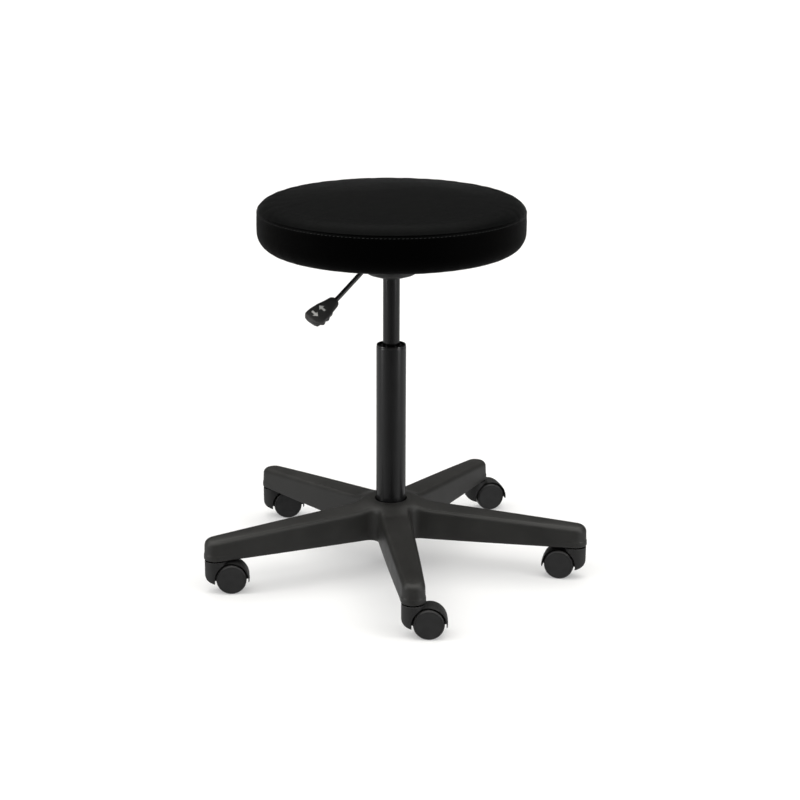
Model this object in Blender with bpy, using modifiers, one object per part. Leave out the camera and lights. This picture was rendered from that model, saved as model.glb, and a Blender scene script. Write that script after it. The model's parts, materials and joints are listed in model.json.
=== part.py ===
"""Adjustable swivel stool: round padded seat, gas-lift column, five-star base on twin-wheel casters.

Metres, +Z up, floor at Z = 0.  Every piece is modelled about the column's axis, which is then
set so that the centre of the footprint's bounding box is the origin.
"""

from math import cos, pi, radians, sin, tan

import bmesh
import bpy
from mathutils import Matrix, Vector

# ---- driving dimensions -----------------------------------------------------------------
AXIS_X = -0.0114                    # the column's axis in the part's frame
AXIS_Y = 0.0125
GAP = 0.0003                        # running gap between neighbouring pieces

LEGS = 5
FIRST_LEG = radians(-83.3)          # the leg that points to the front
STEM_RADIUS = 0.3167                # caster stem axis from the column axis
RIM_Z = 0.058                       # underside of the base
LEG_INNER = 0.030                   # where a leg starts, inside the hub
LEG_TOP_AT = 0.070                  # radius at which the leg's top is LEG_TOP_Z high
LEG_TOP_Z = 0.1095
LEG_FALL = 0.066                    # fall of the leg's top per metre of radius
LEG_EDGE = 0.008                    # rounding of the leg's top edges
LEG_DRAFT = tan(radians(2.0))
LEG_WALL = 0.004
HUB_RADIUS = 0.0565
HUB_TOP = 0.118
HUB_MOUTH = 0.0275                  # open ring around the column tube
SOCKET_TOP = 0.087                  # blind end of a caster socket

TUBE_RADIUS = 0.025
TUBE_TOP = 0.390
TUBE_BOTTOM = 0.062
TUBE_BORE = 0.023
BUSH_TOP = 0.3885                   # guide bush in the tube's upper end
BUSH_BOTTOM = 0.3000
BUSH_BORE = 0.0144
RACE_RADIUS = 0.0140                # thrust bearing under the piston rod's bump stop
BALLS = 8
BALL_RADIUS = 0.0026
BALL_CIRCLE = 0.0095
BALL_Z = 0.0710
CYLINDER_RADIUS = 0.014
CYLINDER_BORE = 0.012
CYLINDER_BOTTOM = 0.190
CYLINDER_TOP = 0.536
TAPER_START = 0.503
TAPER_TOP_RADIUS = 0.0129
ROD_RADIUS = 0.005
ROD_HOLE = 0.0056
PISTON_TOP = 0.244

SEAT_RADIUS = 0.2212
SHOULDER_RADIUS = 0.1880            # where the crown turns into the shoulder
SHOULDER_Z = 0.6347
SHOULDER_HALF = (0.0335, 0.0227)    # the shoulder's half axes, across and down
SEAM_ANGLE = radians(16.6)          # where the shoulder meets the side, on that ellipse
CROWN_Z = 0.6490
CROWN_FLAT = 0.020
CORNER_RADIUS = 0.0304              # lower edge of the seat
CORNER_Z = 0.5840
HEM_RADIUS = 0.165
COVER_THICKNESS = 0.0015
BOARD_RADIUS = 0.189
BOARD_BOTTOM = 0.5553
BOARD_TOP = 0.5673
DUST_RADIUS = 0.178
DUST_BOTTOM = 0.5520
DUST_TOP = 0.5532

HOUSING_RADIUS = 0.0415             # pressed cup under the seat
HOUSING_WALL = 0.0025
HOUSING_EDGE_Z = 0.5116             # where the cup's wall meets its shallow conical bottom
HOUSING_BOTTOM = 0.5040
FLANGE_HALF = 0.085
FLANGE_CORNER = 0.015
FLANGE_BOTTOM = 0.5487
FLANGE_TOP = 0.5517
SOCKET_RADIUS = 0.0175
BOLT_OFFSET = 0.0625                # seat bolts, from the column axis in X and in Y
BOLT_RADIUS = 0.003

LEVER_AZIMUTH = radians(220)
LEVER_RADIUS = 0.004
LEVER_INNER = (-0.006, 0.5460)      # (distance from the column axis, height)
LEVER_KNEE = (0.0288, 0.5460)
LEVER_NECK = (0.1150, 0.4840)
LEVER_PIVOT_AT = 0.034
HANDLE_SLOPE = radians(23.5)
HANDLE_ROLL = radians(-30)
BUTTON_TOP = 0.5417

WHEEL_RADIUS = 0.025
WHEEL_INNER = 0.0030                # wheel faces, from the caster's middle plane
WHEEL_OUTER = 0.0188
WHEEL_SIDES = 24
CASTER_TRAIL = 0.0245
CASTER_HALF_WIDTH = 0.0196
CASTER_TOP = 0.0555
WELL_RADIUS = 0.028
HOOD_RADIUS = 0.0294
WEB_HALF = 0.0022
STEM_BOTTOM = 0.048
STEM_TOP = 0.086
STEM_THICK = 0.0055
AXLE_RADIUS = 0.003
# the way each caster trails at rest, leg by leg
CASTER_YAW = [radians(a) for a in (0.0, 168.0, 15.0, 5.0, 5.0)]

SIDES = 24                          # facets round the column
SEAT_SIDES = 32

# ---- scene ------------------------------------------------------------------------------
for old in list(bpy.data.objects):
    bpy.data.objects.remove(old, do_unlink=True)

parts = bpy.data.collections.new("adjustable_swivel_stool")
cutters = bpy.data.collections.new("cutters")
for collection in (parts, cutters):
    bpy.context.scene.collection.children.link(collection)


def material(name, colour, roughness, metallic=0.0):
    made = bpy.data.materials.new(name)
    made.use_nodes = True
    shader = made.node_tree.nodes["Principled BSDF"]
    shader.inputs["Base Color"].default_value = (*colour, 1.0)
    shader.inputs["Roughness"].default_value = roughness
    shader.inputs["Metallic"].default_value = metallic
    return made


NYLON = material("black_nylon", (0.026, 0.026, 0.025), 0.55)
CASTER_NYLON = material("caster_nylon", (0.022, 0.022, 0.022), 0.50)
TREAD = material("wheel_nylon", (0.024, 0.024, 0.024), 0.60)
TUBE_PAINT = material("black_tube_paint", (0.020, 0.020, 0.020), 0.32)
CYLINDER_PAINT = material("black_cylinder", (0.016, 0.016, 0.016), 0.20)
HOUSING_PAINT = material("black_housing_paint", (0.030, 0.030, 0.030), 0.40)
STEEL = material("bright_steel", (0.55, 0.56, 0.58), 0.28, 1.0)
BALL_STEEL = material("bearing_steel", (0.60, 0.60, 0.62), 0.18, 1.0)
ZINC = material("zinc_plated_steel", (0.50, 0.50, 0.47), 0.35, 1.0)
ACETAL = material("white_acetal", (0.75, 0.75, 0.72), 0.45)
BUSH_NYLON = material("black_bush_nylon", (0.012, 0.012, 0.012), 0.50)
RUBBER = material("black_rubber", (0.015, 0.015, 0.015), 0.80)
VINYL = material("black_vinyl", (0.008, 0.009, 0.009), 0.38)
FOAM = material("cream_foam", (0.78, 0.72, 0.55), 0.95)
PLYWOOD = material("plywood", (0.55, 0.38, 0.22), 0.70)
DUST_CLOTH = material("black_dust_cloth", (0.020, 0.020, 0.020), 0.95)
LEVER_PAINT = material("black_lever_paint", (0.014, 0.014, 0.014), 0.35)
HANDLE_NYLON = material("black_handle", (0.014, 0.014, 0.014), 0.45)


def place(obj, finish, parent, location=(0, 0, 0), rotation=(0, 0, 0), collection=None):
    """Gives an object its material, its parent and its place."""
    if finish:
        obj.data.materials.clear()
        obj.data.materials.append(finish)
    obj.parent = parent
    obj.location = location
    obj.rotation_euler = rotation
    (collection or parts).objects.link(obj)
    return obj


def pivot(name, location, parent=None, rotation=(0, 0, 0)):
    """An empty on a joint's axis."""
    empty = bpy.data.objects.new(name, None)
    empty.empty_display_size = 0.02
    return place(empty, None, parent, location, rotation)


def hide(obj):
    """Marks an object as a cutter or a piece to be joined."""
    obj.hide_render = True
    obj.display_type = "WIRE"
    return obj


def mesh_object(name, bm):
    """An object from a bmesh, smooth except at its sharp edges."""
    bmesh.ops.recalc_face_normals(bm, faces=bm.faces)
    mesh = bpy.data.meshes.new(name)
    bm.to_mesh(mesh)
    bm.free()
    mesh.shade_smooth()
    mesh.set_sharp_from_angle(angle=radians(35))
    return bpy.data.objects.new(name, mesh)


def turned(name, profile, sides=SIDES, ring=False, phase=0.0):
    """A profile of (radius, height) points turned about Z.  A ring's profile is a closed loop."""
    bm = bmesh.new()
    points = [bm.verts.new((r * cos(phase), r * sin(phase), z)) for r, z in profile]
    for first, second in zip(points, points[1:] + points[:1] if ring else points[1:]):
        bm.edges.new((first, second))
    mesh = bpy.data.meshes.new(name)
    bm.to_mesh(mesh)
    bm.free()
    obj = bpy.data.objects.new(name, mesh)
    screw = obj.modifiers.new("turn", "SCREW")
    screw.axis = "Z"
    screw.angle = 2 * pi
    screw.steps = sides
    screw.render_steps = sides
    screw.use_merge_vertices = True
    screw.merge_threshold = 0.00001
    screw.use_smooth_shade = True
    return obj


def cylinder(name, radius, bottom, top, sides=SIDES):
    bm = bmesh.new()
    shift = Matrix.Translation((0, 0, (bottom + top) / 2))
    bmesh.ops.create_cone(bm, cap_ends=True, segments=sides, radius1=radius, radius2=radius,
                          depth=top - bottom, matrix=shift)
    return mesh_object(name, bm)


def block(name, low, high):
    bm = bmesh.new()
    size = [b - a for a, b in zip(low, high)]
    middle = [(a + b) / 2 for a, b in zip(low, high)]
    matrix = Matrix.Translation(middle) @ Matrix.Diagonal((*size, 1))
    bmesh.ops.create_cube(bm, size=1, matrix=matrix)
    return mesh_object(name, bm)


def as_mesh(obj, name):
    """A new object from an evaluated curve or modified mesh, which is then removed."""
    bpy.context.view_layer.update()
    evaluated = obj.evaluated_get(bpy.context.evaluated_depsgraph_get())
    mesh = bpy.data.meshes.new_from_object(evaluated)
    bm = bmesh.new()
    bm.from_mesh(mesh)
    bmesh.ops.remove_doubles(bm, verts=bm.verts, dist=0.000005)
    bm.to_mesh(mesh)
    bm.free()
    mesh.shade_smooth()
    mesh.set_sharp_from_angle(angle=radians(35))
    made = bpy.data.objects.new(name, mesh)
    made.matrix_world = obj.matrix_world.copy()
    bpy.data.objects.remove(obj, do_unlink=True)
    mesh.name = name
    made.name = name
    return made


def outline_solid(name, points, half_thickness):
    """A flat outline in XY, half_thickness to each side of Z = 0."""
    curve = bpy.data.curves.new(name, "CURVE")
    curve.dimensions = "2D"
    curve.fill_mode = "BOTH"
    curve.extrude = half_thickness
    spline = curve.splines.new("POLY")
    spline.points.add(len(points) - 1)
    for point, (x, y) in zip(spline.points, points):
        point.co = (x, y, 0, 1)
    spline.use_cyclic_u = True
    flat = bpy.data.objects.new(name + "_outline", curve)
    cutters.objects.link(flat)
    return as_mesh(flat, name)


def boolean(obj, other, operation="DIFFERENCE"):
    """Cuts obj by another object or by a collection, or joins them."""
    step = obj.modifiers.new(operation.lower(), "BOOLEAN")
    step.operation = operation
    step.solver = "EXACT"
    if isinstance(other, bpy.types.Collection):
        step.operand_type = "COLLECTION"
        step.collection = other
    else:
        step.object = other
    return step


def arc(centre, radius, start, end, steps):
    """Points on an arc from start to end, angles in degrees."""
    angles = [radians(start + (end - start) * k / steps) for k in range(steps + 1)]
    return [(centre[0] + radius * cos(a), centre[1] + radius * sin(a)) for a in angles]


def leg_angle(index):
    return FIRST_LEG + 2 * pi * index / LEGS


# ---- joints' axes -----------------------------------------------------------------------
column_axis = pivot("column_axis", (AXIS_X, AXIS_Y, 0))
swivel_axis = pivot("seat_swivel_axis", (0, 0, TUBE_BOTTOM), column_axis)
lift_axis = pivot("seat_lift_axis", (0, 0, CYLINDER_BOTTOM - TUBE_BOTTOM), swivel_axis)


def on_stand(obj, finish):
    return place(obj, finish, column_axis)


def on_piston(obj, finish):
    return place(obj, finish, swivel_axis, (0, 0, -TUBE_BOTTOM))


def on_seat(obj, finish, x=0.0, y=0.0):
    return place(obj, finish, lift_axis, (x, y, -CYLINDER_BOTTOM))


# ---- five-star base ---------------------------------------------------------------------
def leg_top(r):
    return LEG_TOP_Z - LEG_FALL * (r - LEG_TOP_AT)


def leg_half_width(r):
    """The leg is widest at the hub and tapers ever faster to its rounded end."""
    x = r - 0.080
    return 0.0270 - 0.0185 * x - 0.054 * x * x


def leg_section(r):
    """Half of a leg's cross-section, from the middle of its top to its lower edge."""
    width = leg_half_width(r)
    top = leg_top(r)
    upper = width - LEG_DRAFT * (top - RIM_Z)
    edge = arc((upper - LEG_EDGE, top - LEG_EDGE), LEG_EDGE, 90, 0, 3)
    return [(0.0, top)] + edge + [(width, RIM_Z)]


def leg_solid(angle):
    """One leg along +X, its end rounded about the caster stem, then turned to its angle."""
    bm = bmesh.new()
    radii = [LEG_INNER + (STEM_RADIUS - LEG_INNER) * k / 5 for k in range(6)]
    turn = [pi / 2 - pi * k / 8 for k in range(1, 8)]
    stations = [(r, pi / 2) for r in radii] + [(STEM_RADIUS, a) for a in turn]
    stations += [(r, -pi / 2) for r in reversed(radii)]
    rows = []
    for r, a in stations:
        section = leg_section(r)
        rows.append([bm.verts.new((r + w * cos(a), w * sin(a), z)) for w, z in section])
    for one, two in zip(rows, rows[1:]):
        for j in range(len(one) - 1):
            bm.faces.new((one[j], one[j + 1], two[j + 1], two[j]))
    bm.faces.new([row[-1] for row in rows])
    bm.faces.new(rows[0] + list(reversed(rows[-1][1:])))
    bmesh.ops.remove_doubles(bm, verts=bm.verts, dist=0.00001)
    bmesh.ops.dissolve_degenerate(bm, edges=bm.edges, dist=0.00001)
    bmesh.ops.rotate(bm, verts=bm.verts, cent=(0, 0, 0), matrix=Matrix.Rotation(angle, 3, "Z"))
    return mesh_object("leg_form", bm)


def leg_pocket(angle, start, end):
    """A hollow under a leg, open below, that leaves the leg's walls."""
    bm = bmesh.new()
    bmesh.ops.create_cube(bm, size=2)
    for v in bm.verts:
        r = start if v.co.x < 0 else end
        top = leg_top(r) - LEG_WALL - 0.0005
        z = top if v.co.z > 0 else RIM_Z - 0.010
        half = leg_half_width(r) - LEG_WALL - LEG_DRAFT * (top - RIM_Z)
        v.co = (r, half if v.co.y > 0 else -half, z)
    bmesh.ops.rotate(bm, verts=bm.verts, cent=(0, 0, 0), matrix=Matrix.Rotation(angle, 3, "Z"))
    return mesh_object("leg_pocket", bm)


def build_base():
    hub = turned("star_base", [
        (HUB_MOUTH, HUB_TOP), (0.038, HUB_TOP), (0.047, 0.1155), (HUB_RADIUS, 0.1080),
        (HUB_RADIUS, RIM_Z), (0.0236, RIM_Z), (0.0252, 0.106), (HUB_MOUTH, 0.106),
    ], ring=True)
    legs = bpy.data.collections.new("leg_forms")
    hollows = bpy.data.collections.new("base_hollows")
    for group in (legs, hollows):
        cutters.children.link(group)
    groove = turned("hub_groove", [
        (0.049, 0.100), (0.050, 0.048), (0.033, 0.048), (0.034, 0.100),
    ], ring=True)
    place(hide(groove), None, column_axis, collection=hollows)
    for i in range(LEGS):
        angle = leg_angle(i)
        place(hide(leg_solid(angle)), None, column_axis, collection=legs)
        for start, end in ((0.064, 0.128), (0.133, 0.208), (0.213, 0.292)):
            pocket = leg_pocket(angle, start, end)
            place(hide(pocket), None, column_axis, collection=hollows)
        socket = cylinder("caster_socket", 0.00635, RIM_Z - 0.010, SOCKET_TOP, 16)
        spot = (STEM_RADIUS * cos(angle), STEM_RADIUS * sin(angle), 0)
        place(hide(socket), None, column_axis, spot, collection=hollows)
    boolean(hub, legs, "UNION")
    boolean(hub, hollows)
    on_stand(hub, NYLON)


# ---- gas-lift column --------------------------------------------------------------------
def build_column():
    on_stand(turned("column_tube", [
        (0.0240, TUBE_TOP), (TUBE_RADIUS, TUBE_TOP - 0.0020), (TUBE_RADIUS, 0.118),
        (0.0248, 0.106), (0.0232, TUBE_BOTTOM), (ROD_HOLE, TUBE_BOTTOM), (ROD_HOLE, 0.065),
        (0.0212, 0.065), (TUBE_BORE, 0.112), (TUBE_BORE, TUBE_TOP),
    ], ring=True), TUBE_PAINT)
    on_stand(turned("guide_bush", [
        (TUBE_BORE - GAP, BUSH_TOP), (TUBE_BORE - GAP, BUSH_BOTTOM), (BUSH_BORE, BUSH_BOTTOM),
        (BUSH_BORE, BUSH_TOP),
    ], ring=True), BUSH_NYLON)
    on_stand(turned("bearing_lower_race", [
        (RACE_RADIUS, 0.0678), (RACE_RADIUS, 0.0653), (ROD_HOLE, 0.0653), (ROD_HOLE, 0.0678),
    ], ring=True), BALL_STEEL)


def build_ball_race():
    """A flat cage with the ball of each pocket standing out above and below it."""
    half = 0.0010
    cage = turned("ball_race", [
        (0.0132, BALL_Z + half), (0.0132, BALL_Z - half), (0.0058, BALL_Z - half),
        (0.0058, BALL_Z + half),
    ], ring=True, sides=24)
    balls = bpy.data.collections.new("ball_forms")
    cutters.children.link(balls)
    for k in range(BALLS):
        a = 2 * pi * k / BALLS
        bm = bmesh.new()
        bmesh.ops.create_uvsphere(bm, u_segments=6, v_segments=4, radius=BALL_RADIUS)
        ball = hide(mesh_object("ball_form", bm))
        spot = (BALL_CIRCLE * cos(a), BALL_CIRCLE * sin(a), BALL_Z)
        place(ball, None, column_axis, spot, collection=balls)
    boolean(cage, balls, "UNION")
    on_piston(cage, BALL_STEEL)


def build_piston():
    on_piston(turned("piston_rod", [
        (0.0, 0.2355), (ROD_RADIUS, 0.2355), (ROD_RADIUS, 0.0612), (0.0040, 0.0612),
        (0.0040, 0.0585), (ROD_RADIUS, 0.0585), (0.0045, 0.0565), (0.0, 0.0565),
    ], sides=16), STEEL)
    on_piston(turned("retaining_clip", [
        (0.0085, 0.0608), (0.0085, 0.0590), (0.0043, 0.0590), (0.0043, 0.0608),
    ], ring=True, sides=16), ZINC)
    on_piston(turned("bearing_upper_race", [
        (RACE_RADIUS, 0.0765), (RACE_RADIUS, 0.0740), (0.0054, 0.0740), (0.0054, 0.0765),
    ], ring=True), BALL_STEEL)
    on_piston(turned("bump_stop", [
        (0.0110, 0.0900), (0.0130, 0.0850), (0.0130, 0.0768), (0.0054, 0.0768), (0.0054, 0.0900),
    ], ring=True, sides=24), RUBBER)
    on_piston(turned("piston_head", [
        (0.0, PISTON_TOP), (0.0112, PISTON_TOP), (0.0116, PISTON_TOP - 0.0010),
        (0.0116, 0.2368), (0.0112, 0.2358), (0.0, 0.2358),
    ], sides=24), ACETAL)


def build_cylinder():
    on_seat(turned("gas_cylinder", [
        (0.0119, CYLINDER_TOP), (TAPER_TOP_RADIUS, CYLINDER_TOP - 0.0010),
        (CYLINDER_RADIUS, TAPER_START), (CYLINDER_RADIUS, CYLINDER_BOTTOM + 0.0010),
        (0.0130, CYLINDER_BOTTOM), (CYLINDER_BORE, CYLINDER_BOTTOM), (CYLINDER_BORE, 0.500),
        (0.0105, 0.512), (0.0105, 0.528), (0.0037, 0.528), (0.0037, CYLINDER_TOP),
    ], ring=True), CYLINDER_PAINT)
    on_seat(turned("rod_seal", [
        (0.0117, 0.2030), (0.0117, 0.1915), (0.0054, 0.1915), (0.0054, 0.2030),
    ], ring=True, sides=24), RUBBER)
    button = turned("release_button", [
        (0.0, BUTTON_TOP), (0.0045, BUTTON_TOP), (0.0052, BUTTON_TOP - 0.0006),
        (0.0052, 0.5405), (0.0032, 0.5405), (0.0032, 0.5160), (0.0, 0.5160),
    ], sides=16)
    button_axis = pivot("release_press_axis", (0, 0, BUTTON_TOP - CYLINDER_BOTTOM), lift_axis)
    place(button, ZINC, button_axis, (0, 0, -BUTTON_TOP))


# ---- mechanism under the seat -----------------------------------------------------------
def build_mechanism():
    slack = 0.00035
    on_seat(turned("taper_socket", [
        (SOCKET_RADIUS, 0.5330), (SOCKET_RADIUS, 0.5046), (CYLINDER_RADIUS + slack, 0.5046),
        (TAPER_TOP_RADIUS + slack, 0.5330),
    ], ring=True), ZINC)

    inside = HOUSING_RADIUS - HOUSING_WALL
    mouth = SOCKET_RADIUS + 0.0004
    housing = turned("mechanism_housing", [
        (HOUSING_RADIUS, 0.5500), (HOUSING_RADIUS, HOUSING_EDGE_Z),
        (HOUSING_RADIUS - 0.0012, HOUSING_EDGE_Z - 0.0012), (mouth + 0.0010, HOUSING_BOTTOM),
        (mouth, HOUSING_BOTTOM), (mouth, HOUSING_BOTTOM + 0.0030),
        (inside, HOUSING_EDGE_Z + 0.0010), (inside, 0.5500),
    ], ring=True)
    corner = FLANGE_HALF - FLANGE_CORNER
    rim = []
    for start in (0, 90, 180, 270):
        middle = radians(start + 45)
        centre = (corner * cos(middle) * 2 ** 0.5, corner * sin(middle) * 2 ** 0.5)
        rim += arc(centre, FLANGE_CORNER, start, start + 90, 3)
    flange = outline_solid("flange_form", rim, (FLANGE_TOP - FLANGE_BOTTOM) / 2)
    flange.data.transform(Matrix.Translation((0, 0, (FLANGE_TOP + FLANGE_BOTTOM) / 2)))
    hollow = cylinder("housing_hollow", inside - 0.001, FLANGE_BOTTOM - 0.002, 0.560)
    lever_slot = block("lever_slot", (inside - 0.004, -0.0058, -0.0080),
                       (HOUSING_RADIUS + 0.004, 0.0058, 0.0080))
    lever_slot.data.transform(Matrix.Translation((0, 0, lever_height(inside)))
                              @ Matrix.Rotation(LEVER_AZIMUTH, 4, "Z"))
    for form, operation in ((flange, "UNION"), (hollow, "DIFFERENCE"), (lever_slot, "DIFFERENCE")):
        place(hide(form), None, lift_axis, (0, 0, -CYLINDER_BOTTOM), collection=cutters)
        boolean(housing, form, operation)
    for x, y in bolt_spots():
        hole = cylinder("bolt_hole", BOLT_RADIUS + 0.0004, 0.540, 0.560, 12)
        place(hide(hole), None, lift_axis, (x, y, -CYLINDER_BOTTOM), collection=cutters)
        boolean(housing, hole)
    on_seat(housing, HOUSING_PAINT)


def bolt_spots():
    return [(sx * BOLT_OFFSET, sy * BOLT_OFFSET) for sx, sy in ((1, 1), (-1, 1), (-1, -1), (1, -1))]


def build_fasteners():
    """Four hexagon bolts through the flange into tee nuts that sit in the seat board."""
    head = cylinder("seat_bolt", 0.00577, 0.5444, 0.5484, 6)
    shank = cylinder("shank_form", BOLT_RADIUS, 0.5470, 0.5630, 12)
    place(hide(shank), None, column_axis, collection=cutters)
    boolean(head, shank, "UNION")
    place(head, None, column_axis)
    bolt = as_mesh(head, "seat_bolt").data
    nut_form = turned("tee_nut", [
        (0.0095, BOARD_TOP - 0.0003), (0.0095, BOARD_TOP - 0.0017), (0.0050, BOARD_TOP - 0.0017),
        (0.0050, BOARD_BOTTOM + 0.0015), (0.0034, BOARD_BOTTOM + 0.0015),
        (0.0034, BOARD_TOP - 0.0003),
    ], ring=True, sides=16)
    place(nut_form, None, column_axis)
    nut = as_mesh(nut_form, "tee_nut").data
    for i, (x, y) in enumerate(bolt_spots(), 1):
        on_seat(bpy.data.objects.new(f"seat_bolt_{i}", bolt), ZINC, x, y)
        on_seat(bpy.data.objects.new(f"tee_nut_{i}", nut), ZINC, x, y)


# ---- seat -------------------------------------------------------------------------------
def seat_outline(inset):
    """The seat's side view from the crown to the lower edge, at a depth under its skin."""
    rise = CROWN_Z - SHOULDER_Z
    points = [(0.0, CROWN_Z - inset), (CROWN_FLAT, CROWN_Z - inset)]
    for share in (0.40, 0.62, 0.82):
        points.append((SHOULDER_RADIUS * share, SHOULDER_Z + rise * (1 - share * share) - inset))
    across, down = SHOULDER_HALF
    for k in range(5):
        a = pi / 2 + (SEAM_ANGLE - pi / 2) * k / 4
        points.append((SHOULDER_RADIUS + (across - inset) * cos(a),
                       SHOULDER_Z - down + (down - inset) * sin(a)))
    points.append((SEAT_RADIUS - inset, 0.5980))
    centre = (SEAT_RADIUS - CORNER_RADIUS, CORNER_Z)
    return points + arc(centre, CORNER_RADIUS - inset, 0, -90, 4)


def build_seat():
    cover = turned("seat_cover", seat_outline(0.0) + [(HEM_RADIUS, CORNER_Z - CORNER_RADIUS)],
                   sides=SEAT_SIDES)
    skin = cover.modifiers.new("vinyl", "SOLIDIFY")
    skin.thickness = COVER_THICKNESS
    skin.offset = -1
    skin.use_even_offset = True
    on_seat(cover, VINYL)

    depth = COVER_THICKNESS + 0.0004
    rim = BOARD_RADIUS + 0.0005
    foam_outline = seat_outline(depth)
    foam_outline += [(rim, foam_outline[-1][1]), (rim, BOARD_TOP + GAP), (0.0, BOARD_TOP + GAP)]
    on_seat(turned("seat_foam", foam_outline, sides=SEAT_SIDES), FOAM)

    board = turned("seat_board", [
        (0.0, BOARD_TOP), (BOARD_RADIUS, BOARD_TOP), (BOARD_RADIUS, BOARD_BOTTOM),
        (0.0, BOARD_BOTTOM),
    ], sides=SEAT_SIDES)
    dust = turned("dust_cover", [
        (0.0, DUST_TOP), (DUST_RADIUS, DUST_TOP), (DUST_RADIUS, DUST_BOTTOM), (0.0, DUST_BOTTOM),
    ], sides=SEAT_SIDES)
    for x, y in bolt_spots():
        cuts = (
            (board, cylinder("nut_hole", 0.0054, 0.550, 0.570, 12)),
            (board, cylinder("nut_seat", 0.0099, BOARD_TOP - 0.0021, 0.575, 16)),
            (dust, cylinder("dust_hole", 0.0042, 0.550, 0.556, 12)),
        )
        for sheet, hole in cuts:
            place(hide(hole), None, lift_axis, (x, y, -CYLINDER_BOTTOM), collection=cutters)
            boolean(sheet, hole)
    on_seat(board, PLYWOOD)
    on_seat(dust, DUST_CLOTH)


# ---- height lever -----------------------------------------------------------------------
def lever_height(distance):
    """Height of the lever rod's middle at a distance from the column axis."""
    slope = (LEVER_NECK[1] - LEVER_KNEE[1]) / (LEVER_NECK[0] - LEVER_KNEE[0])
    return LEVER_KNEE[1] + slope * (distance - LEVER_KNEE[0])


def rounded_path(corners, radius, steps):
    """A path through corners, each bend rounded by an arc of the given reach."""
    points = [Vector(corners[0])]
    for before, corner, after in zip(corners, corners[1:], corners[2:]):
        corner = Vector(corner)
        into = corner + (Vector(before) - corner).normalized() * radius
        out = corner + (Vector(after) - corner).normalized() * radius
        for k in range(steps + 1):
            t = k / steps
            points.append(into * (1 - t) ** 2 + corner * 2 * t * (1 - t) + out * t * t)
    return points + [Vector(corners[-1])]


def build_lever():
    hinge_at = (LEVER_PIVOT_AT * cos(LEVER_AZIMUTH), LEVER_PIVOT_AT * sin(LEVER_AZIMUTH),
                lever_height(LEVER_PIVOT_AT) - CYLINDER_BOTTOM)
    hinge = pivot("lever_hinge_axis", hinge_at, lift_axis, (0, 0, LEVER_AZIMUTH))
    shift = (-LEVER_PIVOT_AT, 0, -lever_height(LEVER_PIVOT_AT))

    handle_way = Vector((cos(HANDLE_SLOPE), 0, -sin(HANDLE_SLOPE)))
    neck = Vector((LEVER_NECK[0], 0, LEVER_NECK[1]))
    inner = (LEVER_INNER[0], 0, LEVER_INNER[1])
    knee = (LEVER_KNEE[0], 0, LEVER_KNEE[1])
    path = rounded_path([inner, knee, neck, neck + handle_way * 0.022], 0.004, 3)
    curve = bpy.data.curves.new("lever_rod", "CURVE")
    curve.dimensions = "3D"
    curve.bevel_depth = LEVER_RADIUS
    curve.bevel_resolution = 2
    curve.use_fill_caps = True
    spline = curve.splines.new("POLY")
    spline.points.add(len(path) - 1)
    for point, spot in zip(spline.points, path):
        point.co = (*spot, 1)
    rod = bpy.data.objects.new("lever_rod", curve)
    place(rod, LEVER_PAINT, hinge, shift)

    handle = handle_form()
    hole = cylinder("handle_bore", 0.0044, -0.005, 0.0200, 12)
    place(handle, HANDLE_NYLON, hinge)
    handle.matrix_local = (
        Matrix.Translation(Vector(shift) + neck + handle_way * 0.003)
        @ Matrix.Rotation(HANDLE_SLOPE, 4, "Y") @ Matrix.Rotation(HANDLE_ROLL, 4, "X")
    )
    place(hide(hole), None, handle, rotation=(0, pi / 2, 0), collection=cutters)
    boolean(handle, hole)


def handle_form():
    """A paddle lofted along +X: a round neck that flattens and widens to a rounded end."""
    stations = (            # along the paddle, half width left and right, half thickness
        (0.0000, 0.0068, 0.0075, 0.0060), (0.0036, 0.0100, 0.0105, 0.0066),
        (0.0180, 0.0115, 0.0145, 0.0064), (0.0320, 0.0132, 0.0200, 0.0060),
        (0.0450, 0.0140, 0.0215, 0.0060), (0.0540, 0.0132, 0.0192, 0.0056),
        (0.0590, 0.0095, 0.0130, 0.0046), (0.0614, 0.0045, 0.0050, 0.0032),
    )
    sides = 12
    bm = bmesh.new()
    rows = []
    for x, left, right, half_height in stations:
        row = []
        for k in range(sides):
            a = 2 * pi * (k + 0.5) / sides
            y = (right if cos(a) > 0 else left) * cos(a)
            z = half_height * sin(a)
            row.append(bm.verts.new((x, y, z)))
        rows.append(row)
    for one, two in zip(rows, rows[1:]):
        for k in range(sides):
            after = (k + 1) % sides
            bm.faces.new((one[k], one[after], two[after], two[k]))
    bm.faces.new(rows[0])
    bm.faces.new(list(reversed(rows[-1])))
    return mesh_object("lever_handle", bm)


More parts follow.
